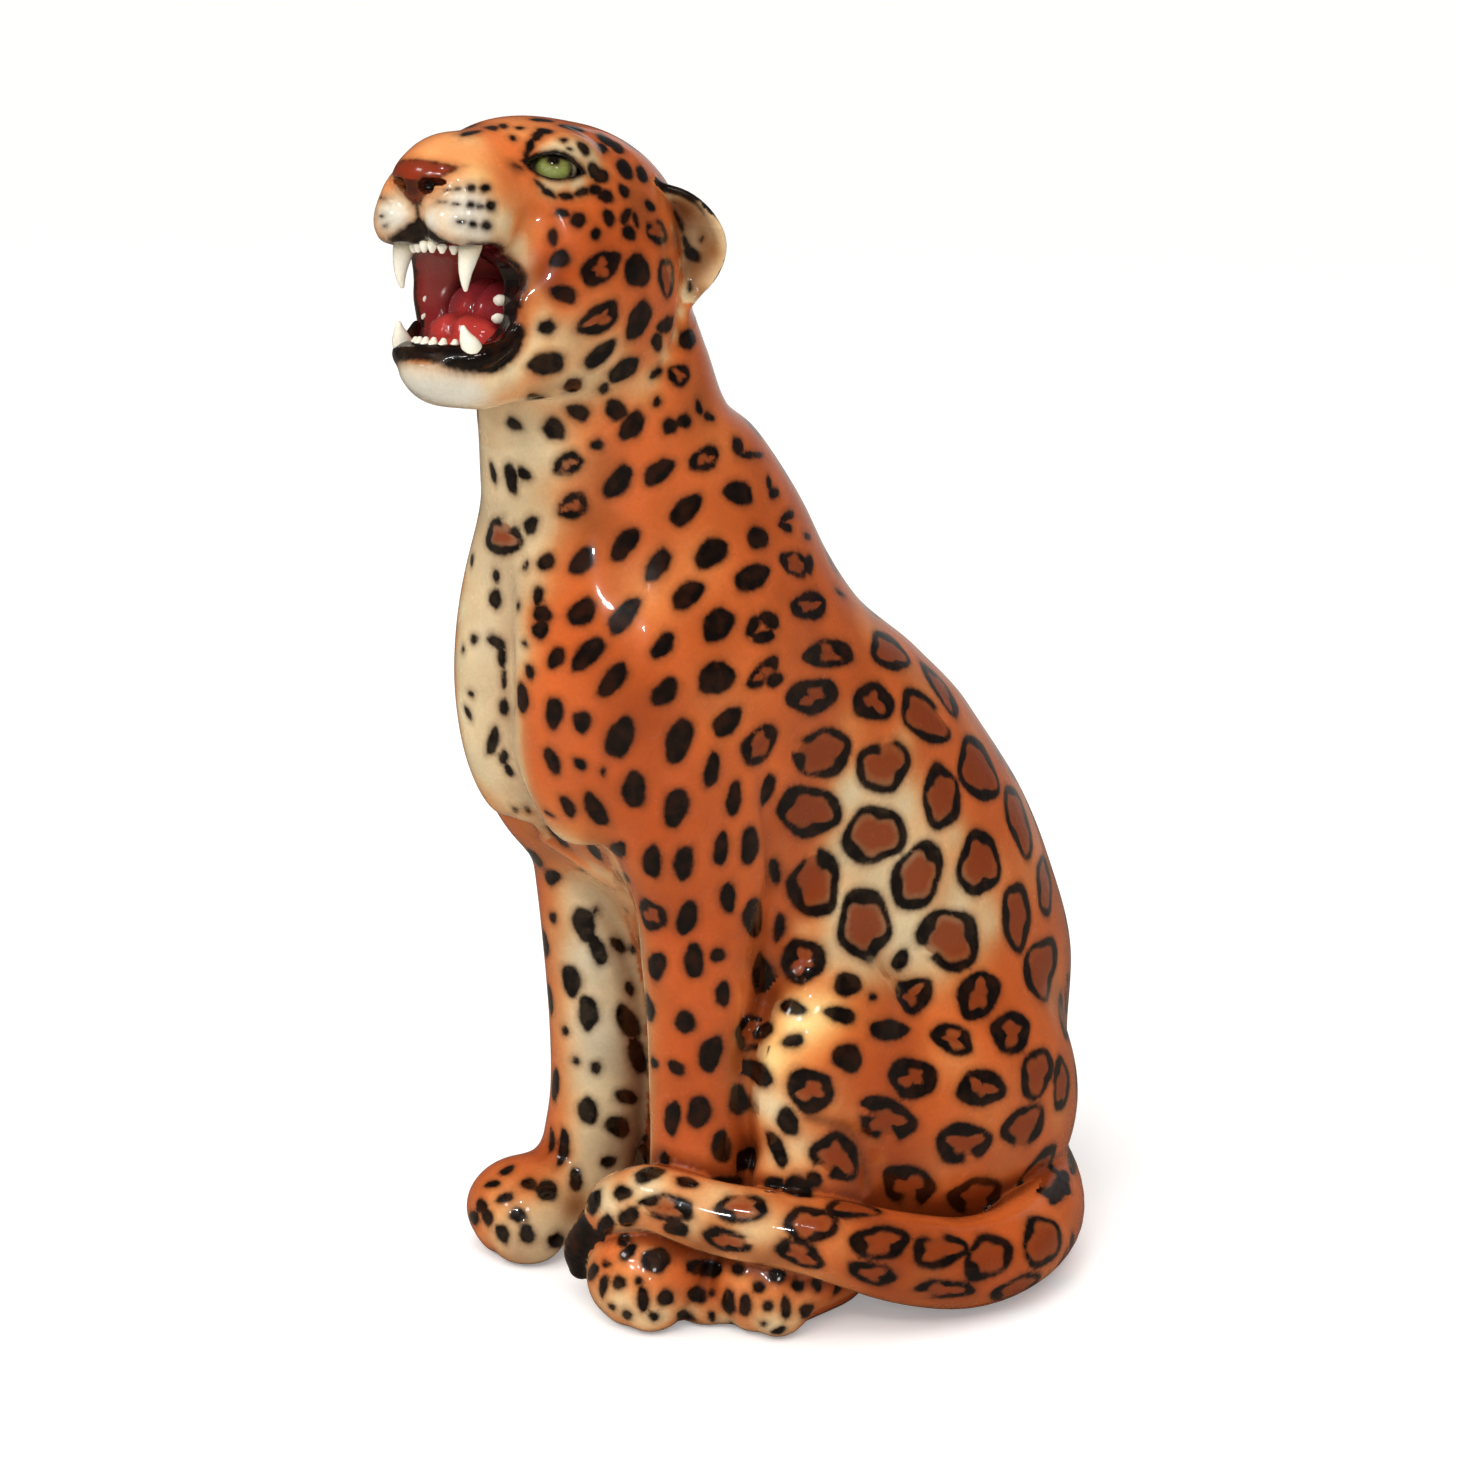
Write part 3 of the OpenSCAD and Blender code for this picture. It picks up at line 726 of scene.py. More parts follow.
# Broken rings with a rust heart: middle, half length, half width, turn, half stroke, gaps (from, width).
ROSES = [
    (601,268,23,15,136,5,[]), (600,319,24,14,139,5,[]), (680,375,12,11,162,4.5,[]), (568,464,17,11,156,4.5,[]),
    (705,459,17,12,153,4.5,[]), (501,537,21,17,71,5,[(210,40)]), (573,506,17,13,131,5.5,[]), (795,564,16,12,45,4.5,[(300,40)]),
    (809,606,19,14,169,5,[]), (764,673,20,11,134,5.5,[(240,50)]), (760,745,23,14,119,5,[]), (651,915,17,12,55,4.5,[]),
    (750,1032,20,16,116,5,[]), (828,654,25,15,-10,5.9,[]), (890,651,25,14,50,5.5,[]), (941,689,34,8,52,4.4,[]),
    (813,696,26,18,-20,6.5,[]), (874,702,22,19,0,5.7,[]), (925,717,33,18,57,5.2,[(270,40)]), (979,769,37,17,72,5.5,[]),
    (1019,820,37,12,75,4.7,[]), (822,753,30,24,-42,6.0,[(230,25)]), (884,766,28,27,-40,5.7,[(300,30)]), (809,811,31,26,-15,6.0,[]),
    (942,797,32,20,90,5.5,[]), (875,835,32,30,-30,5.7,[]), (918,876,36,25,108,5.7,[]), (980,863,35,21,88,6.0,[]),
    (814,883,34,27,90,6.2,[(150,30)]), (864,925,35,27,90,6.0,[]), (950,939,33,30,80,6.2,[(60,25)]), (1017,916,35,15,86,5.2,[]),
    (1045,885,32,9,86,4.2,[]), (1041,968,31,17,100,5.5,[]), (803,961,24,22,90,6.2,[]), (979,995,27,20,110,6.2,[]),
    (911,996,20,17,0,6.0,[]), (953,1039,23,15,20,4.7,[]), (1012,1032,22,20,60,6.2,[]), (912,1078,25,21,0,6.5,[]),
    (982,1088,24,20,0,6.2,[]), (1038,1073,27,16,110,4.9,[]), (1062,1084,29,8,92,3.9,[]), (1063,1018,23,8,92,3.9,[]),
    (811,1091,24,23,0,6.8,[]), (886,1119,29,23,35,6.5,[(30,45),(150,20)]), (837,1157,26,24,60,6.0,[(60,35)]), (964,1143,28,21,0,6.0,[(60,25)]),
    (1025,1126,24,19,-45,5.5,[(120,35)]), (1038,1171,32,12,121,4.7,[]), (909,1186,29,20,15,6.0,[(60,35)]), (977,1197,27,19,-10,6.0,[(80,40)]),
]
# Tail and the paws under it.
TAIL_SPOTS = [
    (592,1202,13,8,110), (622,1193,10,8,160), (605,1227,12,9,120), (628,1218,12,9,150), (676,1229,14,8,15), (649,1173,16,8,170), (687,1182,12,6,10),
    (729,1181,16,5,0), (773,1184,10,9,0), (798,1192,16,8,15), (814,1180,9,9,0), (1060,1187,17,9,110), (1072,1160,18,5,95),
]
TAIL_ROSES = [
    (666,1208,29,14,5,3.6,[(140,40)]), (742,1207,28,15,0,3.6,[(250,30)]), (811,1224,27,20,5,4.2,[]), (727,1241,25,12,15,3.6,[(320,30)]),
    (800,1255,26,13,20,3.6,[]), (881,1242,31,18,0,4.2,[]), (940,1250,27,19,-10,4.2,[(250,40)]), (989,1257,26,22,-35,4.2,[]),
    (1045,1241,28,19,95,4,[]), (872,1274,27,11,15,3.4,[]), (945,1290,29,10,0,3.4,[(120,40)]), (1018,1289,27,9,-25,3.6,[]),
    (853,1207,27,9,5,4,[]),
]
PAW_SPOTS = [
    (624, 1240, 8, 6, 135), (628, 1252, 11, 7, 135), (606, 1264, 5, 4, 0), (656, 1260, 15, 14, 0), (619, 1283, 8, 7, 0),
    (592, 1272, 10, 5, 110), (603, 1286, 12, 5, 100), (639, 1281, 5, 5, 0), (643, 1300, 13, 7, 85), (666, 1298, 9, 9, 0),
    (627, 1315, 6, 5, 30), (654, 1317, 6, 5, 40), (683, 1315, 7, 5, 150), (612, 1307, 5, 3, 45), (696, 1294, 10, 9, 20),
    (712, 1293, 4, 5, 0), (728, 1303, 13, 7, 85), (745, 1306, 12, 7, 88), (738, 1269, 7, 7, 0), (759, 1287, 7, 7, 0),
    (768, 1306, 6, 6, 0), (786, 1308, 12, 6, 85), (798, 1286, 7, 7, 0), (807, 1311, 9, 6, 120), (817, 1285, 8, 5, 70),
    (759, 1265, 6, 4, 0), (777, 1275, 10, 8, 0), (713, 1269, 13, 9, 0), (694, 1267, 9, 7, 0), (712, 1317, 6, 4, 85),
    (763, 1324, 4, 3, 0), (779, 1331, 8, 4, 160), (732, 1327, 4, 3, 0),
    (547, 1190, 12, 11, 0), (518, 1215, 9, 8, 0), (502, 1234, 10, 7, 70), (527, 1234, 11, 8, 80), (557, 1241, 9, 8, 0), (505, 1198, 10, 5, 165),
    (492, 1184, 9, 4, 165), (507, 1170, 9, 4, 150), (529, 1184, 9, 6, 0), (481, 1206, 8, 6, 70), (473, 1218, 8, 5, 80), (487, 1217, 10, 6, 70),
]
# Face: whisker rows, brow, eye patches, crown.
FACE_SPOTS = [
    (457, 189, 4, 2, 175), (471, 188, 5, 4, 0), (485, 188, 6, 5, 0), (448, 190, 4, 1, 170),
    (442, 202, 4, 1, 5), (456, 204, 5, 2, 5), (471, 205, 5, 4, 10), (480, 206, 5, 3, 5), (491, 206, 6, 6, 0),
    (461, 222, 5, 2, 5), (473, 224, 5, 4, 10), (487, 226, 6, 5, 10),
    (382, 198, 3, 1, 10), (381, 216, 2, 1, 10), (385, 226, 2, 1, 0),
    (530, 146, 9, 5, 110), (538, 135, 8, 5, 140), (545, 131, 9, 3, 10), (527, 154, 5, 4, 90), (513, 138, 4, 3, 20),
    (564, 140, 5, 3, 10), (570, 149, 4, 2, 20), (584, 148, 9, 5, 50), (572, 128, 14, 4, 8), (606, 140, 12, 5, 35), (617, 147, 9, 5, 40),
    (625, 169, 12, 7, 60), (642, 174, 10, 5, 65), (602, 148, 7, 4, 35), (542, 120, 12, 3, 0), (470, 133, 12, 3, 160), (503, 126, 5, 3, 0),
    (492, 128, 7, 3, 0), (520, 128, 5, 2, 0),
    (540, 185, 8, 3, 42), (549, 193, 9, 4, 30), (566, 196, 9, 4, 10), (582, 192, 9, 5, 160), (596, 190, 8, 6, 20), (606, 196, 9, 7, 20),
    (594, 171, 9, 7, 60), (601, 176, 8, 9, 100),
]
FACE_ROSES = [(657, 231, 15, 10, 70, 4, [(150, 60)]), (667, 277, 19, 9, 88, 4, [])]
EAR_SPOTS = [(692, 254, 10, 7, 35), (686, 243, 4, 9, 160), (679, 222, 3, 12, 155), (690, 287, 3, 6, 0), (702, 239, 2, 4, 20),
             (668, 181, 14, 3, 30), (690, 194, 13, 3, 33), (709, 208, 11, 3, 42)]

# ---------------------------------------------------------------- paints
def lin(r, g, b):
    return np.array([((c / 255 + 0.055) / 1.055) ** 2.4 if c > 10 else c / 255 / 12.92 for c in (r, g, b)])

# the darkened cream in this table is painted shade, for the pale chest, throat and cheeks where shade falls
PAINT = dict(
    orange=lin(202, 97, 43), burnt=lin(172, 71, 24), rust=lin(136, 56, 20), tan=lin(220, 146, 86), peach=lin(246, 172, 108),
    cream=lin(225, 204, 162), sand=lin(178, 148, 106), pale=lin(218, 211, 193), butter=lin(252, 224, 152), brown=lin(104, 56, 26), shade=lin(150, 116, 84),
    maroon=lin(128, 30, 34), mouth_shade=lin(70, 22, 20), red=lin(190, 60, 54), flesh=lin(150, 92, 70), nose=lin(132, 44, 20), black=lin(12, 6, 4))

# pigments mix as their logarithms do, so orange over cream gives tan
INKS = {k: np.log(np.maximum(v, 0.002)) for k, v in PAINT.items()}

# Airbrush: paint, place in the photograph's frame, reach, strength; laid one over the other.
# some washes below are painted highlight and painted shade, as marked
WASHES = [
    # back, shoulder and legs
    # tan on the shoulder top is painted highlight
    ("burnt", 850, 690, 70, .3), ("burnt", 800, 590, 45, .35), ("tan", 640, 590, 40, .35), ("tan", 700, 560, 30, .25), ("burnt", 600, 640, 50, .45),
    # the burnt washes down the foreleg are its deeper orange and partly painted shade; brown at its right edge is
    # painted shade, tan down its middle painted highlight
    ("burnt", 640, 740, 60, .45), ("tan", 720, 700, 40, .3), ("burnt", 650, 830, 60, .7), ("burnt", 690, 930, 60, .6), ("burnt", 690, 1060, 70, .65), ("burnt", 690, 1140, 50, .5),
    ("brown", 745, 1060, 26, .5), ("brown", 752, 960, 18, .35), ("tan", 640, 1000, 20, .35), ("brown", 590, 520, 26, .35), ("brown", 600, 470, 22, .3),
    ("tan", 720, 440, 30, .3), ("brown", 700, 400, 22, .35), ("burnt", 760, 520, 40, .3), ("tan", 880, 630, 30, .3),
    # chest, throat and inner legs
    ("cream", 520, 420, 46, .9), ("cream", 505, 470, 44, .95), ("cream", 545, 455, 34, .85), ("cream", 500, 530, 42, 1), ("cream", 540, 520, 28, .8),
    ("cream", 495, 590, 40, 1), ("cream", 535, 585, 20, .7), ("cream", 485, 650, 38, 1), ("cream", 520, 650, 22, .8), ("cream", 480, 710, 36, 1),
    ("cream", 512, 720, 22, .8), ("cream", 490, 770, 34, .95), ("cream", 525, 800, 24, .8), ("cream", 560, 838, 22, .8), ("cream", 600, 872, 16, .6),
    ("cream", 585, 900, 36, .95), ("cream", 592, 960, 40, 1), ("cream", 596, 1020, 40, 1), ("cream", 600, 1080, 40, 1), ("cream", 604, 1140, 36, .95),
    ("shade", 640, 940, 16, .4), ("shade", 612, 1150, 22, .35), ("tan", 552, 930, 14, .6), ("tan", 552, 1010, 14, .6), ("tan", 555, 1090, 14, .65), ("burnt", 553, 1150, 16, .6),
    ("shade", 508, 640, 12, .35), ("shade", 508, 720, 12, .35), ("shade", 520, 440, 14, .25),
    ("cream", 482, 440, 18, .8), ("cream", 484, 500, 20, .9), ("cream", 470, 560, 22, .95), ("cream", 462, 610, 22, 1), ("cream", 460, 660, 22, 1), ("cream", 462, 710, 22, 1),
    # the darkened cream washes among these are painted shade on the chest
    ("cream", 472, 755, 20, .9), ("sand", 540, 500, 26, .2), ("sand", 520, 560, 16, .15), ("cream", 520, 440, 30, .9), ("cream", 530, 545, 24, .85),
    # peach on the shoulder top is painted highlight
    ("pale", 590, 960, 30, .4), ("pale", 598, 1040, 30, .45), ("pale", 495, 560, 26, .3), ("pale", 490, 640, 24, .3), ("peach", 645, 595, 34, .5), ("peach", 700, 560, 26, .3),
    # flank
    ("cream", 930, 840, 30, .7), ("cream", 985, 905, 26, .6), ("cream", 830, 960, 22, .6), ("cream", 955, 925, 30, .6), ("cream", 870, 965, 26, .6), ("cream", 850, 790, 24, .6),
    ("cream", 880, 800, 38, .8), ("cream", 840, 850, 26, .7), ("cream", 905, 870, 40, .9), ("cream", 870, 880, 30, .8), ("cream", 905, 925, 42, .95),
    ("cream", 850, 925, 28, .8), ("cream", 960, 880, 24, .7), ("cream", 975, 950, 22, .5), ("cream", 830, 900, 20, .6), ("cream", 935, 960, 30, .7), ("cream", 800, 930, 12, .5),
    ("cream", 850, 795, 28, .9), ("cream", 905, 805, 30, .9), ("cream", 848, 855, 26, .9), ("cream", 900, 880, 30, .8), ("cream", 905, 740, 18, .5), ("cream", 840, 905, 22, .8),
    ("cream", 960, 905, 24, .8), ("cream", 990, 925, 20, .7), ("cream", 955, 835, 22, .7), ("cream", 905, 950, 34, .9), ("cream", 835, 945, 22, .7), ("cream", 860, 970, 22, .7),
    # peach and tan on the hip and along its right edge are painted highlight and sheen
    ("tan", 850, 725, 22, .6), ("peach", 1000, 870, 22, .4), ("peach", 1040, 850, 24, .35),
    ("tan", 1030, 870, 30, .5), ("tan", 1055, 980, 26, .5), ("tan", 1060, 1110, 24, .6), ("burnt", 980, 760, 40, .1), ("burnt", 1000, 1010, 40, .4),
    ("rust", 775, 880, 14, .5), ("rust", 790, 820, 20, .35), ("rust", 790, 960, 18, .4),
    # haunch
    # burnt and rust over the lower thigh are painted shade
    ("burnt", 880, 1070, 60, .7), ("rust", 900, 1160, 46, .55), ("burnt", 980, 1140, 50, .5), ("tan", 960, 1060, 26, .3), ("butter", 800, 1020, 34, .95), ("butter", 770, 1060, 26, .9),
    ("peach", 950, 1055, 26, .4), ("peach", 870, 1030, 20, .35), ("tan", 990, 1120, 40, .4), ("tan", 940, 1170, 30, .45), ("tan", 1000, 1180, 30, .45), ("cream", 760, 1100, 20, .8),
    ("cream", 775, 1110, 26, .95), ("cream", 800, 1150, 24, .8), ("cream", 775, 1160, 20, .7), ("tan", 830, 1100, 26, .5), ("butter", 830, 1010, 22, .6), ("rust", 858, 1178, 14, .4),
    # painted shade along the crease above the shank, and painted highlight on the lit edge of the thigh beside it
    *[("brown", x, y, 5, .5) for x, y in ((808, 1117), (816, 1119), (824, 1121), (832, 1123), (840, 1125), (847, 1129), (852, 1136), (856, 1144), (860, 1153), (863, 1163), (865, 1173), (868, 1183), (873, 1192))],
    *[("tan", x, y, 8, .4) for x, y in ((836, 1108), (852, 1114), (864, 1126), (872, 1142), (878, 1160), (884, 1178))],
    # tail and paws
    # burnt and rust low on the tail are painted shade; tan and peach along its top are painted highlight
    ("burnt", 900, 1270, 60, .8), ("rust", 900, 1285, 40, .4), ("burnt", 1000, 1260, 60, .6), ("rust", 960, 1290, 46, .5), ("rust", 860, 1220, 30, .4), ("tan", 780, 1200, 36, .7), ("peach", 710, 1195, 34, .7), ("tan", 650, 1195, 26, .7),
    ("cream", 610, 1207, 24, .9), ("cream", 650, 1190, 24, .85), ("cream", 690, 1214, 20, .65), ("cream", 720, 1195, 22, .6), ("cream", 770, 1232, 22, .75), ("cream", 765, 1205, 18, .6),
    ("tan", 840, 1245, 24, .5), ("tan", 920, 1275, 24, .4), ("tan", 1050, 1240, 30, .3), ("brown", 770, 1262, 24, .5), ("brown", 700, 1245, 20, .5),
    ("tan", 620, 1290, 30, .5), ("peach", 640, 1265, 22, .4), ("cream", 640, 1322, 20, .7), ("cream", 600, 1300, 18, .5), ("tan", 760, 1290, 36, .5), ("cream", 770, 1328, 20, .7), ("cream", 720, 1322, 16, .6),
    ("cream", 620, 1302, 20, .8), ("cream", 660, 1316, 20, .85), ("cream", 690, 1312, 16, .7), ("cream", 735, 1325, 18, .8), ("cream", 775, 1328, 20, .85), ("cream", 800, 1320, 14, .6),
    ("cream", 600, 1195, 20, .9), ("cream", 640, 1180, 18, .85), ("cream", 745, 1233, 18, .75), ("cream", 690, 1228, 14, .6), ("peach", 650, 1250, 18, .5), ("peach", 740, 1275, 20, .5),
    ("peach", 810, 1300, 20, .5), ("tan", 505, 1195, 30, .6), ("cream", 505, 1240, 30, .8), ("cream", 545, 1240, 22, .8), ("burnt", 530, 1180, 20, .4), ("brown", 575, 1205, 14, .6),
    # head
    ("peach", 470, 150, 34, .65), ("peach", 430, 150, 30, .8), ("orange", 500, 145, 22, .6), ("tan", 545, 125, 26, .4), ("peach", 520, 210, 26, .6), ("butter", 478, 176, 18, .6), ("burnt", 535, 215, 16, .5),
    ("tan", 500, 200, 16, .4), ("burnt", 600, 240, 40, .4), ("burnt", 640, 230, 34, .5), ("brown", 640, 205, 22, .35), ("orange", 575, 255, 26, .6), ("burnt", 552, 272, 22, .6), ("tan", 600, 300, 20, .25),
    ("pale", 395, 215, 26, 1), ("pale", 430, 222, 26, 1), ("pale", 462, 222, 24, 1), ("pale", 460, 200, 22, .95), ("pale", 478, 208, 18, .9), ("pale", 482, 232, 22, .95), ("pale", 385, 215, 20, 1), ("cream", 500, 222, 15, .8),
    ("cream", 510, 375, 22, .8), ("cream", 560, 340, 26, .75), ("cream", 575, 385, 34, .9), ("cream", 610, 350, 26, .6), ("cream", 640, 385, 22, .55),
    ("cream", 660, 345, 14, .45), ("pale", 430, 392, 40, 1), ("pale", 400, 380, 24, 1), ("pale", 412, 386, 30, 1), ("pale", 450, 394, 30, 1), ("pale", 472, 392, 24, .9), ("shade", 545, 395, 22, .3),
    ("cream", 575, 150, 20, .95), ("cream", 592, 160, 15, .92), ("cream", 550, 188, 10, .88), ("cream", 575, 185, 11, .9), ("peach", 505, 120, 24, .5), ("cream", 555, 145, 8, .7), ("brown", 515, 168, 8, .4),
    ("burnt", 660, 190, 18, .4), ("brown", 664, 240, 12, .4),
    *[("cream", x, y, 11, .8) for x, y in ((505, 240), (515, 252), (526, 264), (534, 280), (539, 296), (541, 312), (540, 328), (535, 344), (526, 358), (512, 370), (495, 382))],
    ("cream", 508, 224, 13, .7), ("cream", 520, 244, 12, .7), ("peach", 530, 226, 13, .45), ("rust", 556, 268, 14, .4), ("brown", 548, 276, 10, .35),
    ("cream", 545, 150, 8, .8), ("cream", 556, 150, 9, .8), ("cream", 568, 152, 9, .8), ("cream", 537, 158, 5, .6), ("cream", 545, 180, 6, .7),
    ("cream", 560, 184, 7, .8), ("cream", 580, 180, 7, .8), ("cream", 590, 172, 6, .7),
    # the darkened cream washes here are painted shade on the lower cheek and throat
    ("sand", 575, 345, 26, .5), ("sand", 605, 385, 28, .45), ("sand", 545, 392, 22, .45), ("burnt", 560, 285, 18, .5), ("rust", 550, 275, 12, .6), ("burnt", 558, 262, 16, .6),
    # last touches: painted highlight along the back and brow, painted shade on shoulder, tail and paw, darker on the
    # cheek
    ("tan", 870, 625, 30, .55), ("peach", 900, 650, 22, .35), ("tan", 925, 690, 30, .55), ("peach", 975, 735, 26, .5), ("tan", 1020, 800, 26, .45), ("tan", 1050, 1000, 26, .4),
    ("peach", 470, 140, 26, .6), ("cream", 468, 138, 16, .3), ("peach", 520, 132, 18, .6), ("tan", 660, 190, 16, .5), ("rust", 545, 275, 16, .5), ("rust", 600, 250, 24, .45),
    ("burnt", 532, 300, 12, .45), ("tan", 530, 310, 10, .4), ("rust", 640, 720, 40, .5), ("rust", 660, 900, 40, .35), ("burnt", 700, 640, 40, .2), ("burnt", 870, 1040, 24, .4),
    ("rust", 900, 1262, 30, .55), ("burnt", 780, 1197, 22, .5), ("tan", 700, 1205, 18, .35), ("shade", 525, 1250, 26, .55), ("sand", 500, 560, 22, .35),
]
# over the finished ground: inside of the ear, its brown and shade washes painted shade in the cup
LATE = [("brown", 682, 213, 14, .9), ("brown", 676, 236, 10, .8), ("shade", 700, 226, 15, .6), ("brown", 692, 268, 12, .5), ("shade", 704, 262, 12, .5),
        ("brown", 700, 293, 8, .45), ("brown", 712, 250, 11, .5), ("cream", 724, 244, 6, .5), ("cream", 680, 264, 7, .7), ("cream", 683, 292, 9, .8), ("cream", 680, 312, 9, .8), ("cream", 674, 334, 9, .75),
        ("cream", 664, 356, 10, .7), ("cream", 652, 378, 10, .55), ("cream", 672, 228, 5, .4), ("burnt", 664, 184, 8, .8)]

def everywhere():
    # body and head painted as one
    return np.vstack([BV, HV]), np.vstack([BN, HN])

BV, BT, BL = make_body()
HV, HT, HL = make_head()
def normals(V):
    g = grad(field, V)
    return g / (np.linalg.norm(g, axis=1, keepdims=True) + 1e-12)
BN, HN = normals(BV), normals(HV)
V, N = everywhere()
NB = len(BV)
QH = to_head(list(V.T))
ON_HEAD = np.zeros(len(V), bool)
ON_HEAD[NB:] = True

# what the photograph's view shows
PX, PY, PZ = project(V)
ZB = np.full((740, 740), 1e9)
gx, gy = np.clip((PX / 2).astype(int), 0, 739), np.clip((PY / 2).astype(int), 0, 739)
np.minimum.at(ZB, (gy, gx), PZ)
for ax in (0, 1):
    ZB = np.minimum(ZB, np.minimum(np.roll(ZB, 1, ax), np.roll(ZB, -1, ax)))
to_cam = POS - V
to_cam /= np.linalg.norm(to_cam, axis=1, keepdims=True)
FACING = (N * to_cam).sum(1)
SEEN = (FACING > 0.02) & (PZ < ZB[gy, gx] + 14)

def seen(p, n):
    x, y, z = (c[0] for c in project(p[None]))
    j, i = int(np.clip(y / 2, 0, 739)), int(np.clip(x / 2, 0, 739))
    w = POS - p
    return n @ w / np.linalg.norm(w) > -0.05 and z < ZB[j, i] + 14

col = np.tile(INKS["orange"], (len(V), 1))
ink = np.full(len(V), 12.0)
rust = np.full(len(V), 12.0)

def around(c, r):
    i = np.nonzero(np.abs(V[:, 0] - c[0]) < r)[0]
    i = i[np.abs(V[i, 1] - c[1]) < r]
    return i[np.abs(V[i, 2] - c[2]) < r]

def wash(c, n, r, paint, s):
    i = around(c, 2.2 * r)
    q = V[i] - c
    w = s * np.exp(-1.1 * (q * q).sum(1) / r ** 2) * np.clip(N[i] @ n * 1.4 + 0.45, 0, 1)
    col[i] += (INKS[paint] - col[i]) * w[:, None]

def dab(c, n, u, v, stroke=0.0, gaps=(), wob=0.05):
    # a painted spot, or a broken ring when it has a stroke width
    R = max(np.linalg.norm(u), np.linalg.norm(v))
    i = around(c, R + 9)
    q = V[i] - c
    ok = (N[i] @ n > 0.1) & (np.abs(q @ n) < 0.75 * R + 6)
    i, q = i[ok], q[ok]
    if not len(i):
        return
    G = np.linalg.inv(np.array([[u @ u, u @ v], [u @ v, v @ v]]))
    us, vs = G[0, 0] * u + G[0, 1] * v, G[1, 0] * u + G[1, 1] * v
    a, b = q @ us, q @ vs
    r = np.sqrt(a * a + b * b) + 1e-6
    g = np.linalg.norm(a[:, None] * us + b[:, None] * vs, axis=1) / r
    th = np.arctan2(b, a)
    f = RNG.uniform(0, 6.28, 3)
    r = r * (1 + wob * np.sin(2 * th + f[0]) + wob * np.sin(3 * th + f[1]) + 0.6 * wob * np.sin(5 * th + f[2]))
    if stroke:
        small = min(np.linalg.norm(u), np.linalg.norm(v))
        w = min(2 * stroke / small, 0.6) * (1 + 0.24 * np.sin(2 * th + f[1]) + 0.2 * np.sin(3 * th + f[0]) + 0.1 * np.sin(5 * th + f[2]))
        d = np.maximum((r - 1) / g, (1 - w - r) / g)
        for g0, gw in gaps:
            t = np.abs((np.degrees(th) - g0 - gw / 2 + 180) % 360 - 180)
            d = smax(d, np.radians(gw / 2 - t) * np.maximum(r, 0.5) / g, 3.0)
        ink[i] = np.minimum(ink[i], d)
        rust[i] = np.minimum(rust[i], (r - 1 + 0.55 * w) / g)
    else:
        ink[i] = np.minimum(ink[i], (r - 1) / g)

PLACED = []

def frames(rows):
    # dabs given by their place in the photograph, laid on the form
    xy = np.array([(r[0], r[1]) for r in rows], float)
    P, ok = cast(xy, field)
    n = normals(P)
    D = rays(xy)
    out = []
    for k, r in enumerate(rows):
        if not ok[k]:
            continue
        c, s = math.cos(math.radians(r[4])), math.sin(math.radians(r[4]))
        mm = (P[k] - POS) @ -BACK / FOC
        ax = []
        for e, l in (((c, s), r[2]), ((-s, c), r[3])):
            E = RIGHT * e[0] - UP * e[1]
            dn = min(D[k] @ n[k], -0.38)
            w = E - D[k] * (E @ n[k]) / dn
            w -= n[k] * (w @ n[k])
            ax.append(w * l * mm)
        out.append((P[k], n[k], ax[0], ax[1], r))
    return out

def lay(rows, ring=False, other=True, wob=0.05):
    fs = frames(rows)
    p, n, u, v = (np.array([f[k] for f in fs]) for k in range(4))
    h = is_head(p)
    q, uu = flip(p, u, h)
    vv = flip(p, v, h)[1]
    q2, n2 = settle(q)
    for k, (_, _, _, _, r) in enumerate(fs):
        mm = (p[k] - POS) @ -BACK / FOC
        size = max(np.linalg.norm(u[k]), np.linalg.norm(v[k]))
        kw = dict(stroke=r[5] * mm, gaps=r[6], wob=0.055) if ring else dict(wob=wob)
        dab(p[k], n[k], u[k], v[k], **kw)
        PLACED.append((p[k], size))
        if not other or np.linalg.norm(q2[k] - q[k]) > 26 or seen(q2[k], n2[k]) or q2[k][2] < 6:
            continue
        dab(q2[k], n2[k], uu[k] - n2[k] * (uu[k] @ n2[k]), vv[k] - n2[k] * (vv[k] @ n2[k]), **kw)
        PLACED.append((q2[k], size))

def airbrush(rows):
    fs = frames([(x, y, r, r, 0, p, s) for p, x, y, r, s in rows])
    p = np.array([f[0] for f in fs])
    q = flip(p, p, is_head(p))[0]
    q2, n2 = settle(q)
    for k, (_, n, _, _, r) in enumerate(fs):
        reach = r[2] * ((p[k] - POS) @ -BACK / FOC) * 1.15
        wash(p[k], n, reach, r[5], r[6])
        if not (r[1] > 1165 and r[0] > 590) and np.linalg.norm(q2[k] - q[k]) < 40 and not seen(q2[k], n2[k]):
            wash(q2[k], n2[k], reach, r[5], r[6])

# large plain areas first: pale belly and inner legs, darker spine
z01 = np.clip((V[:, 2] - 60) / 500, 0, 1)
inner = np.clip(-N[:, 0] * np.sign(V[:, 0]) * 1.4 - 0.1, 0, 1) * (np.abs(V[:, 0]) > 18) * (V[:, 1] < -60) * (V[:, 2] < 400)
under = np.clip(-N[:, 2] * 1.5 - 0.3, 0, 1) * (V[:, 2] > 15)
for w_, p_ in ((np.clip(inner, 0, 1) * 0.9, "cream"), (under * 0.7, "cream")):
    col += (INKS[p_] - col) * w_[:, None]
spine = np.exp(-(V[:, 0] / 60) ** 2) * np.clip(N[:, 1], 0, 1) * (V[:, 2] < 640)
col += (INKS["burnt"] - col) * (0.45 * spine)[:, None]
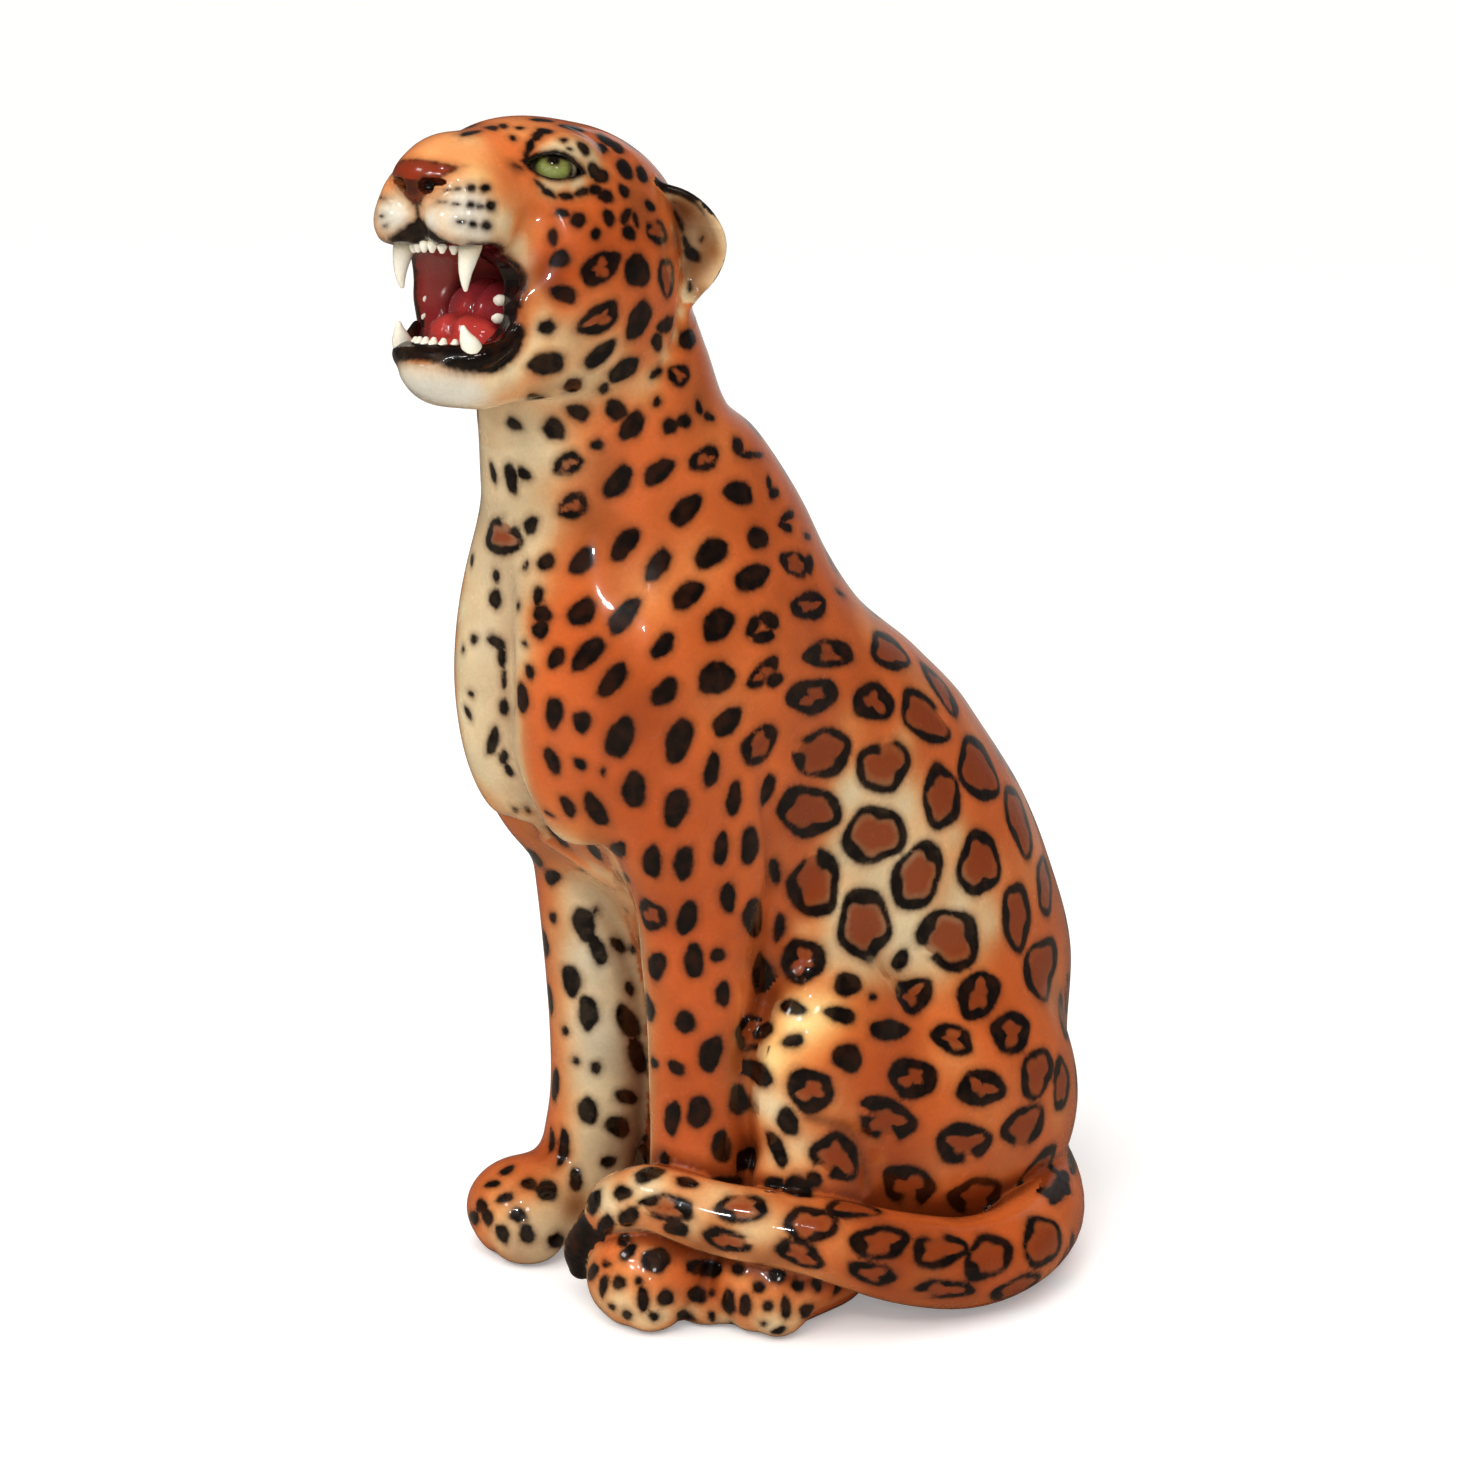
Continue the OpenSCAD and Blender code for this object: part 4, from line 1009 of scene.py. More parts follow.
# pale front of the chest and throat
def ramp(x, a, b):
    t = np.clip((x - a) / (b - a), 0, 1)
    return t * t * (3 - 2 * t)
front = ramp(V[:, 0], -66, -42) * (1 - ramp(V[:, 0], 14, 40)) * ramp(-N[:, 1], 0.0, 0.5) * ramp(V[:, 2], 360, 420) * ~ON_HEAD
col += (INKS["cream"] - col) * (0.9 * front)[:, None]
airbrush(WASHES)
# painted shade gathers in the recesses of the form: rust-brown over orange ground, shade colour over pale ground,
# weaker on the head
hollow_shade = np.clip(1 - field(list((V + 15 * N).T)) / 15, 0, 1)
tight_shade = np.clip(1 - field(list((V + 5 * N).T)) / 5, 0, 1)
w_ = np.clip(hollow_shade * 0.9 + tight_shade * 0.3 - 0.12, 0, 0.75)
w_[ON_HEAD] *= 0.35
dark = np.where(np.exp(col).mean(1)[:, None] > 0.36, INKS["shade"], INKS["rust"] - 0.29)
col += (dark - col) * w_[:, None]

lay(SPOTS)
lay(ROSES, ring=True)
lay(TAIL_SPOTS, other=False)
lay(TAIL_ROSES, ring=True, other=False)
lay(PAW_SPOTS, other=False)
lay(FACE_SPOTS, wob=0.03)
lay(FACE_ROSES, ring=True)
lay(EAR_SPOTS, wob=0.03)

# the side the photograph does not show: the same kind of marks, strewn evenly
def strew():
    tail_s = d_tail(list(V.T))
    cand = RNG.permutation(np.nonzero(~SEEN)[0])[:9000]
    centres = np.array([p for p, _ in PLACED])
    reach = np.array([r for _, r in PLACED])
    # large marks first, then smaller ones in the gaps
    for scale, i in [(1.0, i) for i in cand] + [(0.66, i) for i in cand]:
        p, n = V[i], N[i]
        x, y, z = p
        if z < 9 or n[2] < -0.55:
            continue
        if ON_HEAD[i]:
            h = HM.T @ (p - HO)
            if h[1] < -20 or (h[2] < -70 and h[1] < 0) or (abs(h[0]) > 58 and 10 < h[1] < 50 and h[2] > -60):
                continue
            R = 9.5 if h[2] > -40 else 12.0
            ring = h[1] > 20 or h[2] < -70
        else:
            on_tail = tail_s[i] < 2
            leg = y < -70 and z < 400 and not on_tail
            front = y < -140 and z > 380
            ring = not (leg or front) and (z > 60 or y > -40 and z > 18) or on_tail
            R = 9.0 if leg or front else 20.0
            if z < 60 and not on_tail:
                R = 13.0 if ring else 6.5
            if on_tail:
                R = 15.0
            if z > 470 and not front:
                R = 14.5
        R *= scale * RNG.uniform(0.85, 1.15)
        if len(centres):
            d = np.linalg.norm(centres - p, axis=1) - reach
            if d.min() < R + 5.5:
                continue
        t = np.cross(n, (0.3, 0.2, 1.0))
        t /= np.linalg.norm(t) + 1e-9
        w = np.cross(n, t)
        a = RNG.uniform(-0.6, 0.6)
        u = (w * math.cos(a) + t * math.sin(a)) * R
        v = (-w * math.sin(a) + t * math.cos(a)) * R * RNG.uniform(0.68, 0.9)
        if ring:
            gaps = [(RNG.uniform(0, 360), RNG.uniform(22, 40))]
            if RNG.random() < 0.5:
                gaps.append((gaps[0][0] + RNG.uniform(120, 240), 25))
            dab(p, n, u, v, stroke=R * (0.17 if R > 16 else 0.22), gaps=gaps, wob=0.07)
        else:
            dab(p, n, u * 0.95, v * 0.75)
        centres = np.vstack([centres, p])
        reach = np.append(reach, R)
strew()

# ---------------------------------------------------------------- painted face and mouth
def smooth(x, a, b):
    t = np.clip((x - a) / (b - a), 0, 1)
    return t * t * (3 - 2 * t)

def mix(w, paint):
    global col
    c = INKS[paint]
    col += (c - col) * np.clip(w, 0, 1)[:, None]

qx, qy, qz = QH
hd_ = ON_HEAD
sk_ = np.full(len(V), 9.0)
sk_[hd_] = head_skin([c[hd_] for c in QH])
depth = -sk_
mouth = hd_ & (qy < -12) & (qz < 4) & (qz > -116) & (qx < 66) & (qx > -86)
# inside of the mouth: black rim, then dark red, darker deeper in as painted shade
rim = np.where(qx > 0, 4.0, 2.4) + np.where(qx > 0, 14.0, 1.5) * smooth(qy, -104, -84) + np.where(qx > 0, 5.0, 1.0) * smooth(-qz, 40, 78)
cut = mouth & (depth > 0.6)
mix(cut * smooth(depth, 1.0, 3.0), "maroon")
mix(cut * smooth(depth, 22, 52) * 0.75, "mouth_shade")
mix(cut * (qx < 0) * smooth(depth, 4, 12) * (1 - smooth(depth, 26, 40)) * smooth(qz, -60, -40) * 0.55, "flesh")
gap = np.full(len(V), 50.0)
gap[mouth] = d_mouth([c[mouth] for c in QH])
d_rim = np.maximum(np.maximum(1.2 - depth, depth - rim), gap - 2.5)
ink[mouth] = np.minimum(ink[mouth], d_rim[mouth])
# the same black on the edge of the upper lip, from the fang to the corner
brink = np.nonzero(mouth & (((qz > -50) & (qx > 20) & (qy > -128) & (qy < -58)) | ((qz > -88) & (qx < -20) & (qy > -128) & (qy < -30))))[0]
d_br = np.maximum(gap[brink] - np.where(qx[brink] > 0, 2.4, 6.0), depth[brink] - 3)
ink[brink] = np.minimum(ink[brink], d_br)
# lip roll of the lower jaw
lip = np.full(len(V), 50.0)
lip[hd_] = tube([c[hd_] for c in QH], LIPC, 40)
tuft = 1.2 * np.sin(qx * 1.9) + 0.9 * np.sin(qx * 4.3 + 1)
d_lip = lip - 2.2 - 3 * smooth(qy, -104, -90) + np.maximum(0, -(qz + 92)) * (0.34 + 0.05 * tuft)
ink[hd_] = np.minimum(ink[hd_], np.maximum(d_lip, qz + 60)[hd_])
# nose leather, its edge, nostrils and the line down to the lip
half = np.interp(qz, [8, 14, 22, 29, 34, 44], [3, 9, 17, 25, 27, 26])
pad = np.maximum(np.abs(qx) - half, np.maximum(qz - 35 + 0.004 * qx ** 2, 8 - qz))
onnose = hd_ & (qy < -112)
mix(onnose * (1 - smooth(pad, -1.2, 0.8)), "nose")
mix(onnose * (1 - smooth(pad, -7, -1)) * (qz < 22) * 0.35, "black")
ink[onnose] = np.minimum(ink[onnose], (np.abs(pad) - 0.5 - 0.7 * smooth(-qz, -34, -20))[onnose])
for s in (1, -1):
    nos = ell(QH, (s * 10.5, -141, 20), (5.2, 12, 4.6), rot("z", s * 25))
    ink[onnose] = np.minimum(ink[onnose], nos[onnose])
line = np.sqrt(qx ** 2 + (np.maximum(0, qz - 9) + np.maximum(0, -20 - qz)) ** 2) - 1.5
# dark edge of the upper lip, drawn up in the middle
arch = np.maximum(qz - (2.0 - np.where(qx > 0, 15.5, 19.0) * (np.abs(qx) / 26 + 1e-6) ** 0.75), np.abs(qx) - 32)
lipline = hd_ & (qy < -98) & (qz < 8) & (qz > -36)
ink[lipline] = np.minimum(ink[lipline], arch[lipline] * 0.8)
ink[onnose] = np.minimum(ink[onnose], line[onnose])
# eye liner, drawn out at both corners
for s in (1, -1):
    sel = np.nonzero(hd_ & (np.abs(qx - EYE_C[s][0]) < 44) & (np.abs(qy - EYE_C[s][1]) < 48) & (np.abs(qz - EYE_C[s][2]) < 30))[0]
    q = [c[sel] for c in QH]
    al, a, b = almond(q, s)
    fr = sum((q[j] - EYE_C[s][j]) * EYE_OUT[s][j] for j in range(3))
    w = np.where(b > 0, 3.4, 2.2)
    d = np.where(fr > -4, np.abs(al - 0.4) - w, 9)
    # corners
    inn = np.sqrt((a + 22) ** 2 * 0.25 + (b + 4.0 + 0.25 * (a + 22)) ** 2) - 1.6
    out = np.sqrt(np.where(a > 0, (a - 27) ** 2 * 0.12, 900) + (b - 0.2 - 0.1 * (a - 20)) ** 2) - 1.7
    d = np.minimum(d, np.minimum(inn, out))
    ink[sel] = np.minimum(ink[sel], d)
# ears: pale cup with a pale rim, dark along the back edge; painted shade deeper in the cup, browner towards its top
for s in (1, -1):
    u, v, t = ear_frame(QH, s)
    f_ = np.full(len(V), 30.0)
    k = hd_ & (np.abs(u) < 44) & (np.abs(v - 6) < 58) & (np.abs(t) < 34)
    f_[k] = outline(u[k], v[k], EAR_LINE)
    near = k & (d_ear(QH, s) < 2.2) & (sk_ > 0.4)
    nh = N @ HM
    face = s * nh[:, 0] * EAR_OPEN[0] + nh[:, 1] * EAR_OPEN[1] + nh[:, 2] * EAR_OPEN[2]
    open_ = smooth(face, -0.2, 0.3)
    mix(near * open_ * 0.92, "cream")
    mix(near * (1 - open_) * 0.55, "burnt")
    # painted shade deeper in the cup, brown towards its top
    mix(near * open_ * smooth(-f_, 5, 15) * 0.5, "shade")
    mix(near * open_ * smooth(-f_, 6, 14) * smooth(v, 0, 30) * 0.5, "brown")
    edge = near & (v > 2)
    ink[edge] = np.minimum(ink[edge], np.maximum(np.abs(f_ + 2) - 4.5, t + 1.5)[edge])
airbrush(LATE)
# black end of the tail
tl_ = d_tail(list(V.T))
end = TAILC[-14:, :3]
r_, s_ = near_line(list(V.T), end)
sel = (~ON_HEAD) & (tl_ < 3) & (r_ < 40)
d_end = 12 - 60 * s_
ink[sel] = np.minimum(ink[sel], np.maximum(d_end[sel], -3.2))
ink[ON_HEAD] = np.maximum(ink[ON_HEAD], -3.2)
# contact shade of glaze on the underside
mix((V[:, 2] < 6) * 0.5, "shade")
col = np.exp(col)


# ---------------------------------------------------------------- glaze
def glaze(name, rough=0.22, coat=0.7, mottle=0.10, bump=0.12):
    m = bpy.data.materials.new(name)
    m.use_nodes = True
    nt = m.node_tree
    nd, ln = nt.nodes, nt.links
    b = nd["Principled BSDF"]
    b.inputs["Coat Weight"].default_value = coat
    b.inputs["Coat Roughness"].default_value = 0.03
    b.inputs["Coat IOR"].default_value = 1.5
    b.inputs["IOR"].default_value = 1.48
    b.inputs["Specular IOR Level"].default_value = 0.2
    co = nd.new("ShaderNodeTexCoord")

    def noise(scale, detail=3.0, rough=0.5):
        n = nd.new("ShaderNodeTexNoise")
        n.inputs["Scale"].default_value = scale
        n.inputs["Detail"].default_value = detail
        n.inputs["Roughness"].default_value = rough
        ln.new(co.outputs["Object"], n.inputs["Vector"])
        return n.outputs["Fac"]

    def ranged(x, a, b_, c, d, kind="SMOOTHSTEP"):
        r = nd.new("ShaderNodeMapRange")
        r.interpolation_type = kind
        for k, v in zip(("From Min", "From Max", "To Min", "To Max"), (a, b_, c, d)):
            r.inputs[k].default_value = v
        ln.new(x, r.inputs["Value"])
        return r.outputs["Result"]

    def math_(op, x, y):
        n = nd.new("ShaderNodeMath")
        n.operation = op
        for k, v in enumerate((x, y)):
            if isinstance(v, (int, float)):
                n.inputs[k].default_value = v
            else:
                ln.new(v, n.inputs[k])
        return n.outputs[0]

    def blend_(fac, a, b_, kind="MIX"):
        n = nd.new("ShaderNodeMix")
        n.data_type = "RGBA"
        n.blend_type = kind
        if isinstance(fac, (int, float)):
            n.inputs["Factor"].default_value = fac
        else:
            ln.new(fac, n.inputs["Factor"])
        for k, v in ((6, a), (7, b_)):
            if isinstance(v, (tuple, list)):
                n.inputs[k].default_value = v
            else:
                ln.new(v, n.inputs[k])
        return n.outputs[2]

    def attr(a):
        n = nd.new("ShaderNodeAttribute")
        n.attribute_name = a
        return n

    # airbrushed ground with a faint cloudiness
    base = attr("base").outputs["Color"]
    cloud = ranged(noise(26, 4), 0.3, 0.7, 1 - mottle, 1 + mottle)
    fine = ranged(noise(420, 2), 0.3, 0.7, 0.97, 1.03)
    k = math_("MULTIPLY", cloud, fine)
    cc = nd.new("ShaderNodeCombineColor")
    for i in range(3):
        ln.new(k, cc.inputs[i])
    base = blend_(1.0, base, cc.outputs[0], "MULTIPLY")
    # rust hearts of the rings
    wob = math_("MULTIPLY", math_("SUBTRACT", noise(190, 2), 0.5), 2.6)
    h_ = math_("ADD", attr("rust").outputs["Fac"], wob)
    heart = math_("MULTIPLY", ranged(h_, -10.0, -1.0, 0.97, 0.66), ranged(h_, -0.5, 2.2, 1.0, 0.0))
    base = blend_(heart, base, (*PAINT["rust"], 1))
    # brush marks: soft edge, thin places where the ground shows brown
    d = math_("ADD", attr("ink").outputs["Fac"], wob)
    halo = ranged(d, -0.5, 6.0, 0.42, 0.0)
    base = blend_(halo, base, (*(PAINT["brown"] * 0.8), 1))
    thin = ranged(noise(90, 3), 0.32, 0.62, 0.95, 1.0)
    dark = math_("MULTIPLY", ranged(d, -1.9, 1.7, 1.0, 0.0), thin)
    base = blend_(dark, base, (*PAINT["black"], 1))
    base = blend_(ranged(d, -9.0, -4.5, 0.05, 0.0), base, (*(PAINT["brown"] * 0.7), 1))
    ln.new(base, b.inputs["Base Color"])
    ln.new(ranged(noise(60, 3), 0.3, 0.7, rough * 0.75, rough * 1.35), b.inputs["Roughness"])
    # slow waves and pin marks of a dipped glaze
    bm = nd.new("ShaderNodeBump")
    bm.inputs["Strength"].default_value = bump
    bm.inputs["Distance"].default_value = 0.0012
    wave = math_("ADD", noise(38, 2), math_("MULTIPLY", noise(700, 1), 0.05))
    ln.new(wave, bm.inputs["Height"])
    ln.new(bm.outputs["Normal"], b.inputs["Normal"])
    ln.new(bm.outputs["Normal"], b.inputs["Coat Normal"])
    return m

MAT = {
    "orange_glaze": glaze("orange_glaze"),
    "cream_glaze": glaze("cream_glaze"),
    "maroon_glaze": glaze("maroon_glaze", rough=0.16),
    "red_glaze": glaze("red_glaze", rough=0.14),
    "tooth_glaze": glaze("tooth_glaze", rough=0.12, mottle=0.05, bump=0.08),
    "green_eye_glaze": glaze("green_eye_glaze", rough=0.06, mottle=0.06, bump=0.03),
    "bisque": glaze("bisque", rough=0.7, coat=0.0, mottle=0.08, bump=0.5),
}

# ---------------------------------------------------------------- pieces
def add(name, V_, F, slot, colour, ink_, rust_, loops=None, nodes=None):
    me = bpy.data.meshes.new(name)
    F = np.asarray(F, np.int32)
    k = F.shape[1]
    me.vertices.add(len(V_))
    me.vertices.foreach_set("co", (np.asarray(V_) / 1000).astype(np.float32).ravel())
    me.loops.add(F.size)
    me.loops.foreach_set("vertex_index", F.ravel())
    me.polygons.add(len(F))
    me.polygons.foreach_set("loop_start", np.arange(0, F.size, k, dtype=np.int32))
    me.polygons.foreach_set("use_smooth", np.ones(len(F), bool))
    me.update(calc_edges=True)
    a = me.attributes.new("base", "FLOAT_COLOR", "POINT")
    a.data.foreach_set("color", np.hstack([np.clip(colour, 0, 1), np.ones((len(V_), 1))]).astype(np.float32).ravel())
    for n, x in (("ink", ink_), ("rust", rust_)):
        a = me.attributes.new(n, "FLOAT", "POINT")
        a.data.foreach_set("value", np.asarray(x, np.float32))
    if loops is not None:
        me.normals_split_custom_set(loops.astype(np.float32))
    me.materials.append(MAT[slot])
    ob = bpy.data.objects.new(name, me)
    bpy.context.scene.collection.objects.link(ob)
    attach(ob, "root")
    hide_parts(*(nodes or [name]))
    return ob

def shell(name, T, sel, V_, N_, colour, ink_, rust_, slot, wall):
    # a cast: outer skin, inner face and the cut edge between them
    ids, f = np.unique(T[sel], return_inverse=True)
    f = f.reshape(-1, 3)
    v, n = V_[ids], N_[ids]
    dep = np.full(len(v), float(wall))
    for _ in range(5):
        bad = field(list((v - dep[:, None] * n).T)) > -0.55 * dep
        dep[bad] *= 0.6
    E = edges_of(f)
    for _ in range(4):
        acc, cnt = np.zeros(len(v)), np.zeros(len(v))
        for a, b in ((0, 1), (1, 0)):
            np.add.at(acc, E[:, a], dep[E[:, b]])
            np.add.at(cnt, E[:, a], 1)
        dep = np.minimum(dep, acc / np.maximum(cnt, 1))
    w = v - dep[:, None] * n
    m = len(v)
    D = np.vstack([f[:, [0, 1]], f[:, [1, 2]], f[:, [2, 0]]]).astype(np.int64)
    own, times = np.unique(D[:, 0] * m + D[:, 1], return_counts=True)
    ends = np.stack([own // m, own % m], 1)
    rev = ends[:, 1] * m + ends[:, 0]
    j = np.clip(np.searchsorted(own, rev), 0, len(own) - 1)
    R = np.repeat(ends, np.maximum(times - np.where(own[j] == rev, times[j], 0), 0), axis=0)
    side = np.vstack([np.stack([R[:, 1], R[:, 0], R[:, 0] + m], 1), np.stack([R[:, 1], R[:, 0] + m, R[:, 1] + m], 1)])
    F = np.vstack([f, f[:, ::-1] + m, side])
    P = np.vstack([v, w])
    fn = np.cross(P[side[:, 1]] - P[side[:, 0]], P[side[:, 2]] - P[side[:, 0]])
    fn /= np.linalg.norm(fn, axis=1, keepdims=True) + 1e-12
    loops = np.vstack([n[f.ravel()], -n[f[:, ::-1].ravel()], np.repeat(fn, 3, 0)])
    two = lambda x: np.concatenate([x[ids], x[ids]])
    return add(name, P, F, slot, two(colour), two(ink_), two(rust_), loops)

SLOT = {"torso_shell": "orange_glaze", "right_foreleg": "cream_glaze", "lower_jaw": "cream_glaze", "mouth_lining": "maroon_glaze", "base_slab": "bisque"}
for k_, name_ in enumerate(BODY_NAMES):
    c_ = col[:NB].copy()
    i_, r_ = ink[:NB].copy(), rust[:NB].copy()
    if name_ == "base_slab":
        c_[:] = PAINT["cream"] * 0.8
        i_[:] = 12
        r_[:] = 12
    shell(name_, BT, BL == k_, BV, BN, c_, i_, r_, SLOT.get(name_, "orange_glaze"), 7.0)
for k_, name_ in enumerate(HEAD_NAMES):
    shell(name_, HT, HL == k_, HV, HN, col[NB:], ink[NB:], rust[NB:], SLOT.get(name_, "orange_glaze"),
          1.6 if "ear" in name_ else 4.0)

# small parts in the head's frame
def place(P):
    return HO + np.asarray(P) @ HM.T

def horn(line, seg=32, flat=1.0):
    # closed tapering tooth along a bent line of (place, radius)
    L = curve(line, 6)
    C, R = L[:, :3], L[:, 3]
    t = np.gradient(C, axis=0)
    t /= np.linalg.norm(t, axis=1, keepdims=True)
    up = unit(np.cross(t[0], (0.2, 1.0, 0.1)))
    rings = []
    for c, r, d in zip(C, R, t):
        a = unit(up - d * (up @ d))
        b = np.cross(d, a)
        th = np.linspace(0, 2 * math.pi, seg, endpoint=False)
        rings.append(c + r * (np.outer(np.cos(th), a) + flat * np.outer(np.sin(th), b)))
    # rounded ends
    tip = [C[-1] + t[-1] * R[-1] * 0.8]
    k = []
    for f in (0.75, 0.4):
        c = C[-1] + t[-1] * R[-1] * 0.8 * math.sqrt(1 - f * f)
        k.append(c + (rings[-1] - C[-1]) * f)
    rings += k
    V_ = np.vstack(rings + [tip, [C[0] - t[0] * R[0] * 0.3]])
    n = len(rings)
    F = []
    for i in range(n - 1):
        for j in range(seg):
            a, b = i * seg + j, i * seg + (j + 1) % seg
            F += [(a, b, b + seg), (a, b + seg, a + seg)]
    for j in range(seg):
        F.append(((n - 1) * seg + j, (n - 1) * seg + (j + 1) % seg, n * seg))
        F.append(((j + 1) % seg, j, n * seg + 1))
    return V_, np.array(F)

def outward(V_, F):
    a, b, c = V_[F[:, 0]], V_[F[:, 1]], V_[F[:, 2]]
    return F if (np.cross(a, b) * c).sum() > 0 else F[:, ::-1]

IVORY, ROOT = lin(238, 231, 212), lin(206, 186, 146)

def tooth(name, lines, grow, flat=1.0):
    Vs, Fs, cs, o = [], [], [], 0
    for l in lines:
        v, f = horn(l, 32 if len(lines) == 1 else 20, flat)
        f = outward(v, f)
        a, b = np.array(l[0][0], float), np.array(l[-1][0], float)
        s = np.clip((v - a) @ (b - a) / ((b - a) @ (b - a)), 0, 1)
        w = np.clip((s - grow) / (0.55 - grow), 0, 1)[:, None]
        Vs.append(v)
        Fs.append(f + o)
        cs.append(ROOT * (1 - w) + IVORY * w)
        o += len(v)
    v = place(np.vstack(Vs))
    return add(name, v, np.vstack(Fs), "tooth_glaze", np.vstack(cs), np.full(len(v), 12.0), np.full(len(v), 12.0))

for s, side in ((1, "left"), (-1, "right")):
    tooth("upper_%s_fang" % side, [[((s * 28, -111, -8), 7.2), ((s * 28.5, -114, -16), 7.4), ((s * 28.5, -115.5, -24), 6.3),
                                    ((s * 28.3, -116, -32), 4.6), ((s * 28, -115, -39), 2.9), ((s * 27.6, -113.5, -43.5), 1.5)]], 0.12)
    tooth("lower_%s_fang" % side, [[((s * 26, -96, -91), 5.2), ((s * 29.5, -100.5, -85), 7.4), ((s * 30, -105.5, -79), 6.8),
                                    ((s * 29, -109, -74.5), 5.0), ((s * 28.4, -111.5, -70.5), 3.0), ((s * 28, -112.8, -67.5), 1.8)]], 0.12)
    x, y = (28, -81) if s > 0 else (-57, -55)
    tooth("%s_cheek_teeth" % side, [[((x + 1, y + 5, z), r * 0.9), ((x + 0.3, y + 1, z), r), ((x - 0.4, y - 1, z), r * 0.9),
                                     ((x - 0.9, y - 2.6, z), r * 0.55)] for z, r in ((-46, 2.6), (-58, 2.4))], 0.0, 1.5)
def peg(x, y, z, h, r, dy):
    return [((x, y - dy, z), r * 0.8), ((x, y, z + h * 0.35), r), ((x, y, z + h * 0.7), r * 0.98), ((x, y + dy * 0.5, z + h), r * 0.62)]
tooth("upper_incisors", [peg(i * 7.0, -123 + 0.9 * i * i, -12, -8.2, 3.35, 0.6) for i in np.arange(-2.5, 3)], 0.1)
tooth("lower_incisors", [peg(i * 6.9, -112.5 + 0.9 * i * i, -86, 9.5, 3.4, 0.6) for i in np.arange(-2.5, 3)], 0.1)

# tongue: flat tip behind the teeth, a furrow, and the raised back
def d_tongue(Q):
    d = ell(Q, (-1, -88, -82), (30, 20, 12), rot("x", 6))
    d = smin(d, ell(Q, (-2, -72, -72), (30, 24, 15), rot("x", -22)), 6)
    d = smin(d, ell(Q, (-5, -50, -53), (30, 26, 24)), 7)
    g = np.sqrt(Q[0] ** 2 + (np.maximum(0, Q[1] + 60) * 0.4) ** 2)
    return d + 2.4 * np.exp(-(g / 4.5) ** 2) * (Q[2] > -92)
G_, o_ = sample(d_tongue, (-42, -122, -106), (42, -14, -22), 1.6)
tv, tq = nets(G_, o_, 1.6)
tv, tn = onto(d_tongue, tv, 1.6)
tf = tris(tv, tq)
w_ = smooth(tv[:, 1], -82, -70)[:, None]
tc = PAINT["red"] * (1 - w_) + lin(150, 44, 50) * w_
# darker along the middle furrow: painted shade in the crease
tc = tc * (0.72 + 0.28 * smooth(np.abs(tv[:, 0]), 0, 6)[:, None])
add("tongue", place(tv), tf, "red_glaze", tc, np.full(len(tv), 12.0), np.full(len(tv), 12.0), (tn @ HM.T)[tf.ravel()])

# eyes: ball with a low cornea, green iris with dark rim and a pupil under the upper lid; the black band across the top
# of the ball and the darker top of the iris are painted shadow of the upper lid
def eye(s, name):
    nu, nv = 96, 64
    th = np.linspace(0, math.pi, nv + 1)[1:-1]
    ph = np.linspace(0, 2 * math.pi, nu, endpoint=False)
    st, ct = np.sin(th)[:, None], np.cos(th)[:, None]
    d = np.stack([st * np.cos(ph), st * np.sin(ph), ct + 0 * ph], -1).reshape(-1, 3)
    d = np.vstack([d, [[0, 0, 1], [0, 0, -1]]])
    F = []
    for i in range(nv - 2):
        for j in range(nu):
            a, b = i * nu + j, i * nu + (j + 1) % nu
            F += [(a, a + nu, b + nu), (a, b + nu, b)]
    t, e = len(d) - 2, len(d) - 1
    for j in range(nu):
        F.append((t, j, (j + 1) % nu))
        F.append((e, (nv - 2) * nu + (j + 1) % nu, (nv - 2) * nu + j))
    F = outward(d, np.array(F))
    M = np.stack([EYE_LONG[s], EYE_UP[s], EYE_OUT[s]], 1)
    a, b = d[:, 0] * EYE_R, d[:, 1] * EYE_R
    front = d[:, 2] > 0
    a0, b0 = -1.0, 0.8
    r = np.sqrt(((a - a0) / 12.2) ** 2 + ((b - b0) / 10.2) ** 2)
    rad = EYE_R + 0.9 * np.exp(-(r / 0.9) ** 2) * front
    c = np.tile(lin(170, 160, 128), (len(d), 1))
    iris = lin(138, 150, 80)
    ray = 0.5 + 0.5 * np.sin(26 * np.arctan2(b - b0, a - a0) + 2 * np.sin(9 * np.arctan2(b - b0, a - a0)))
    g = lin(70, 84, 40)
    # rays of the iris, and its top darkened as painted shadow of the upper lid
    iris_rays_and_shade = np.clip(0.25 * ray + 0.6 * smooth(b, 0, 9), 0, 1)[:, None]
    ic = iris * (1 - iris_rays_and_shade) + g * iris_rays_and_shade
    k = ((1 - smooth(r, 0.94, 1.02)) * front)[:, None]
    c = c * (1 - k) + ic * k
    ring = np.where(front, np.abs(r - 1.0) * 10.5 - 1.1, 12)
    pup = np.where(front, np.sqrt(((a - a0) / 1.0) ** 2 + ((b - b0 - 4.6) / 0.9) ** 2) - 4.6, 12)
    # black across the top of the ball: painted shadow of the upper lid; black at the far corners too
    lid_shadow_and_corners = np.where(front, np.minimum(5.6 - b + 0.015 * a * a, 14.5 - np.abs(a - a0)), 12)
    return add(name, place(EYE_C[s] + (d * rad[:, None]) @ M.T), F, "green_eye_glaze", c,
               np.minimum(np.minimum(ring, pup), lid_shadow_and_corners), np.full(len(d), 12.0))
eye(1, "left_eye")
eye(-1, "right_eye")

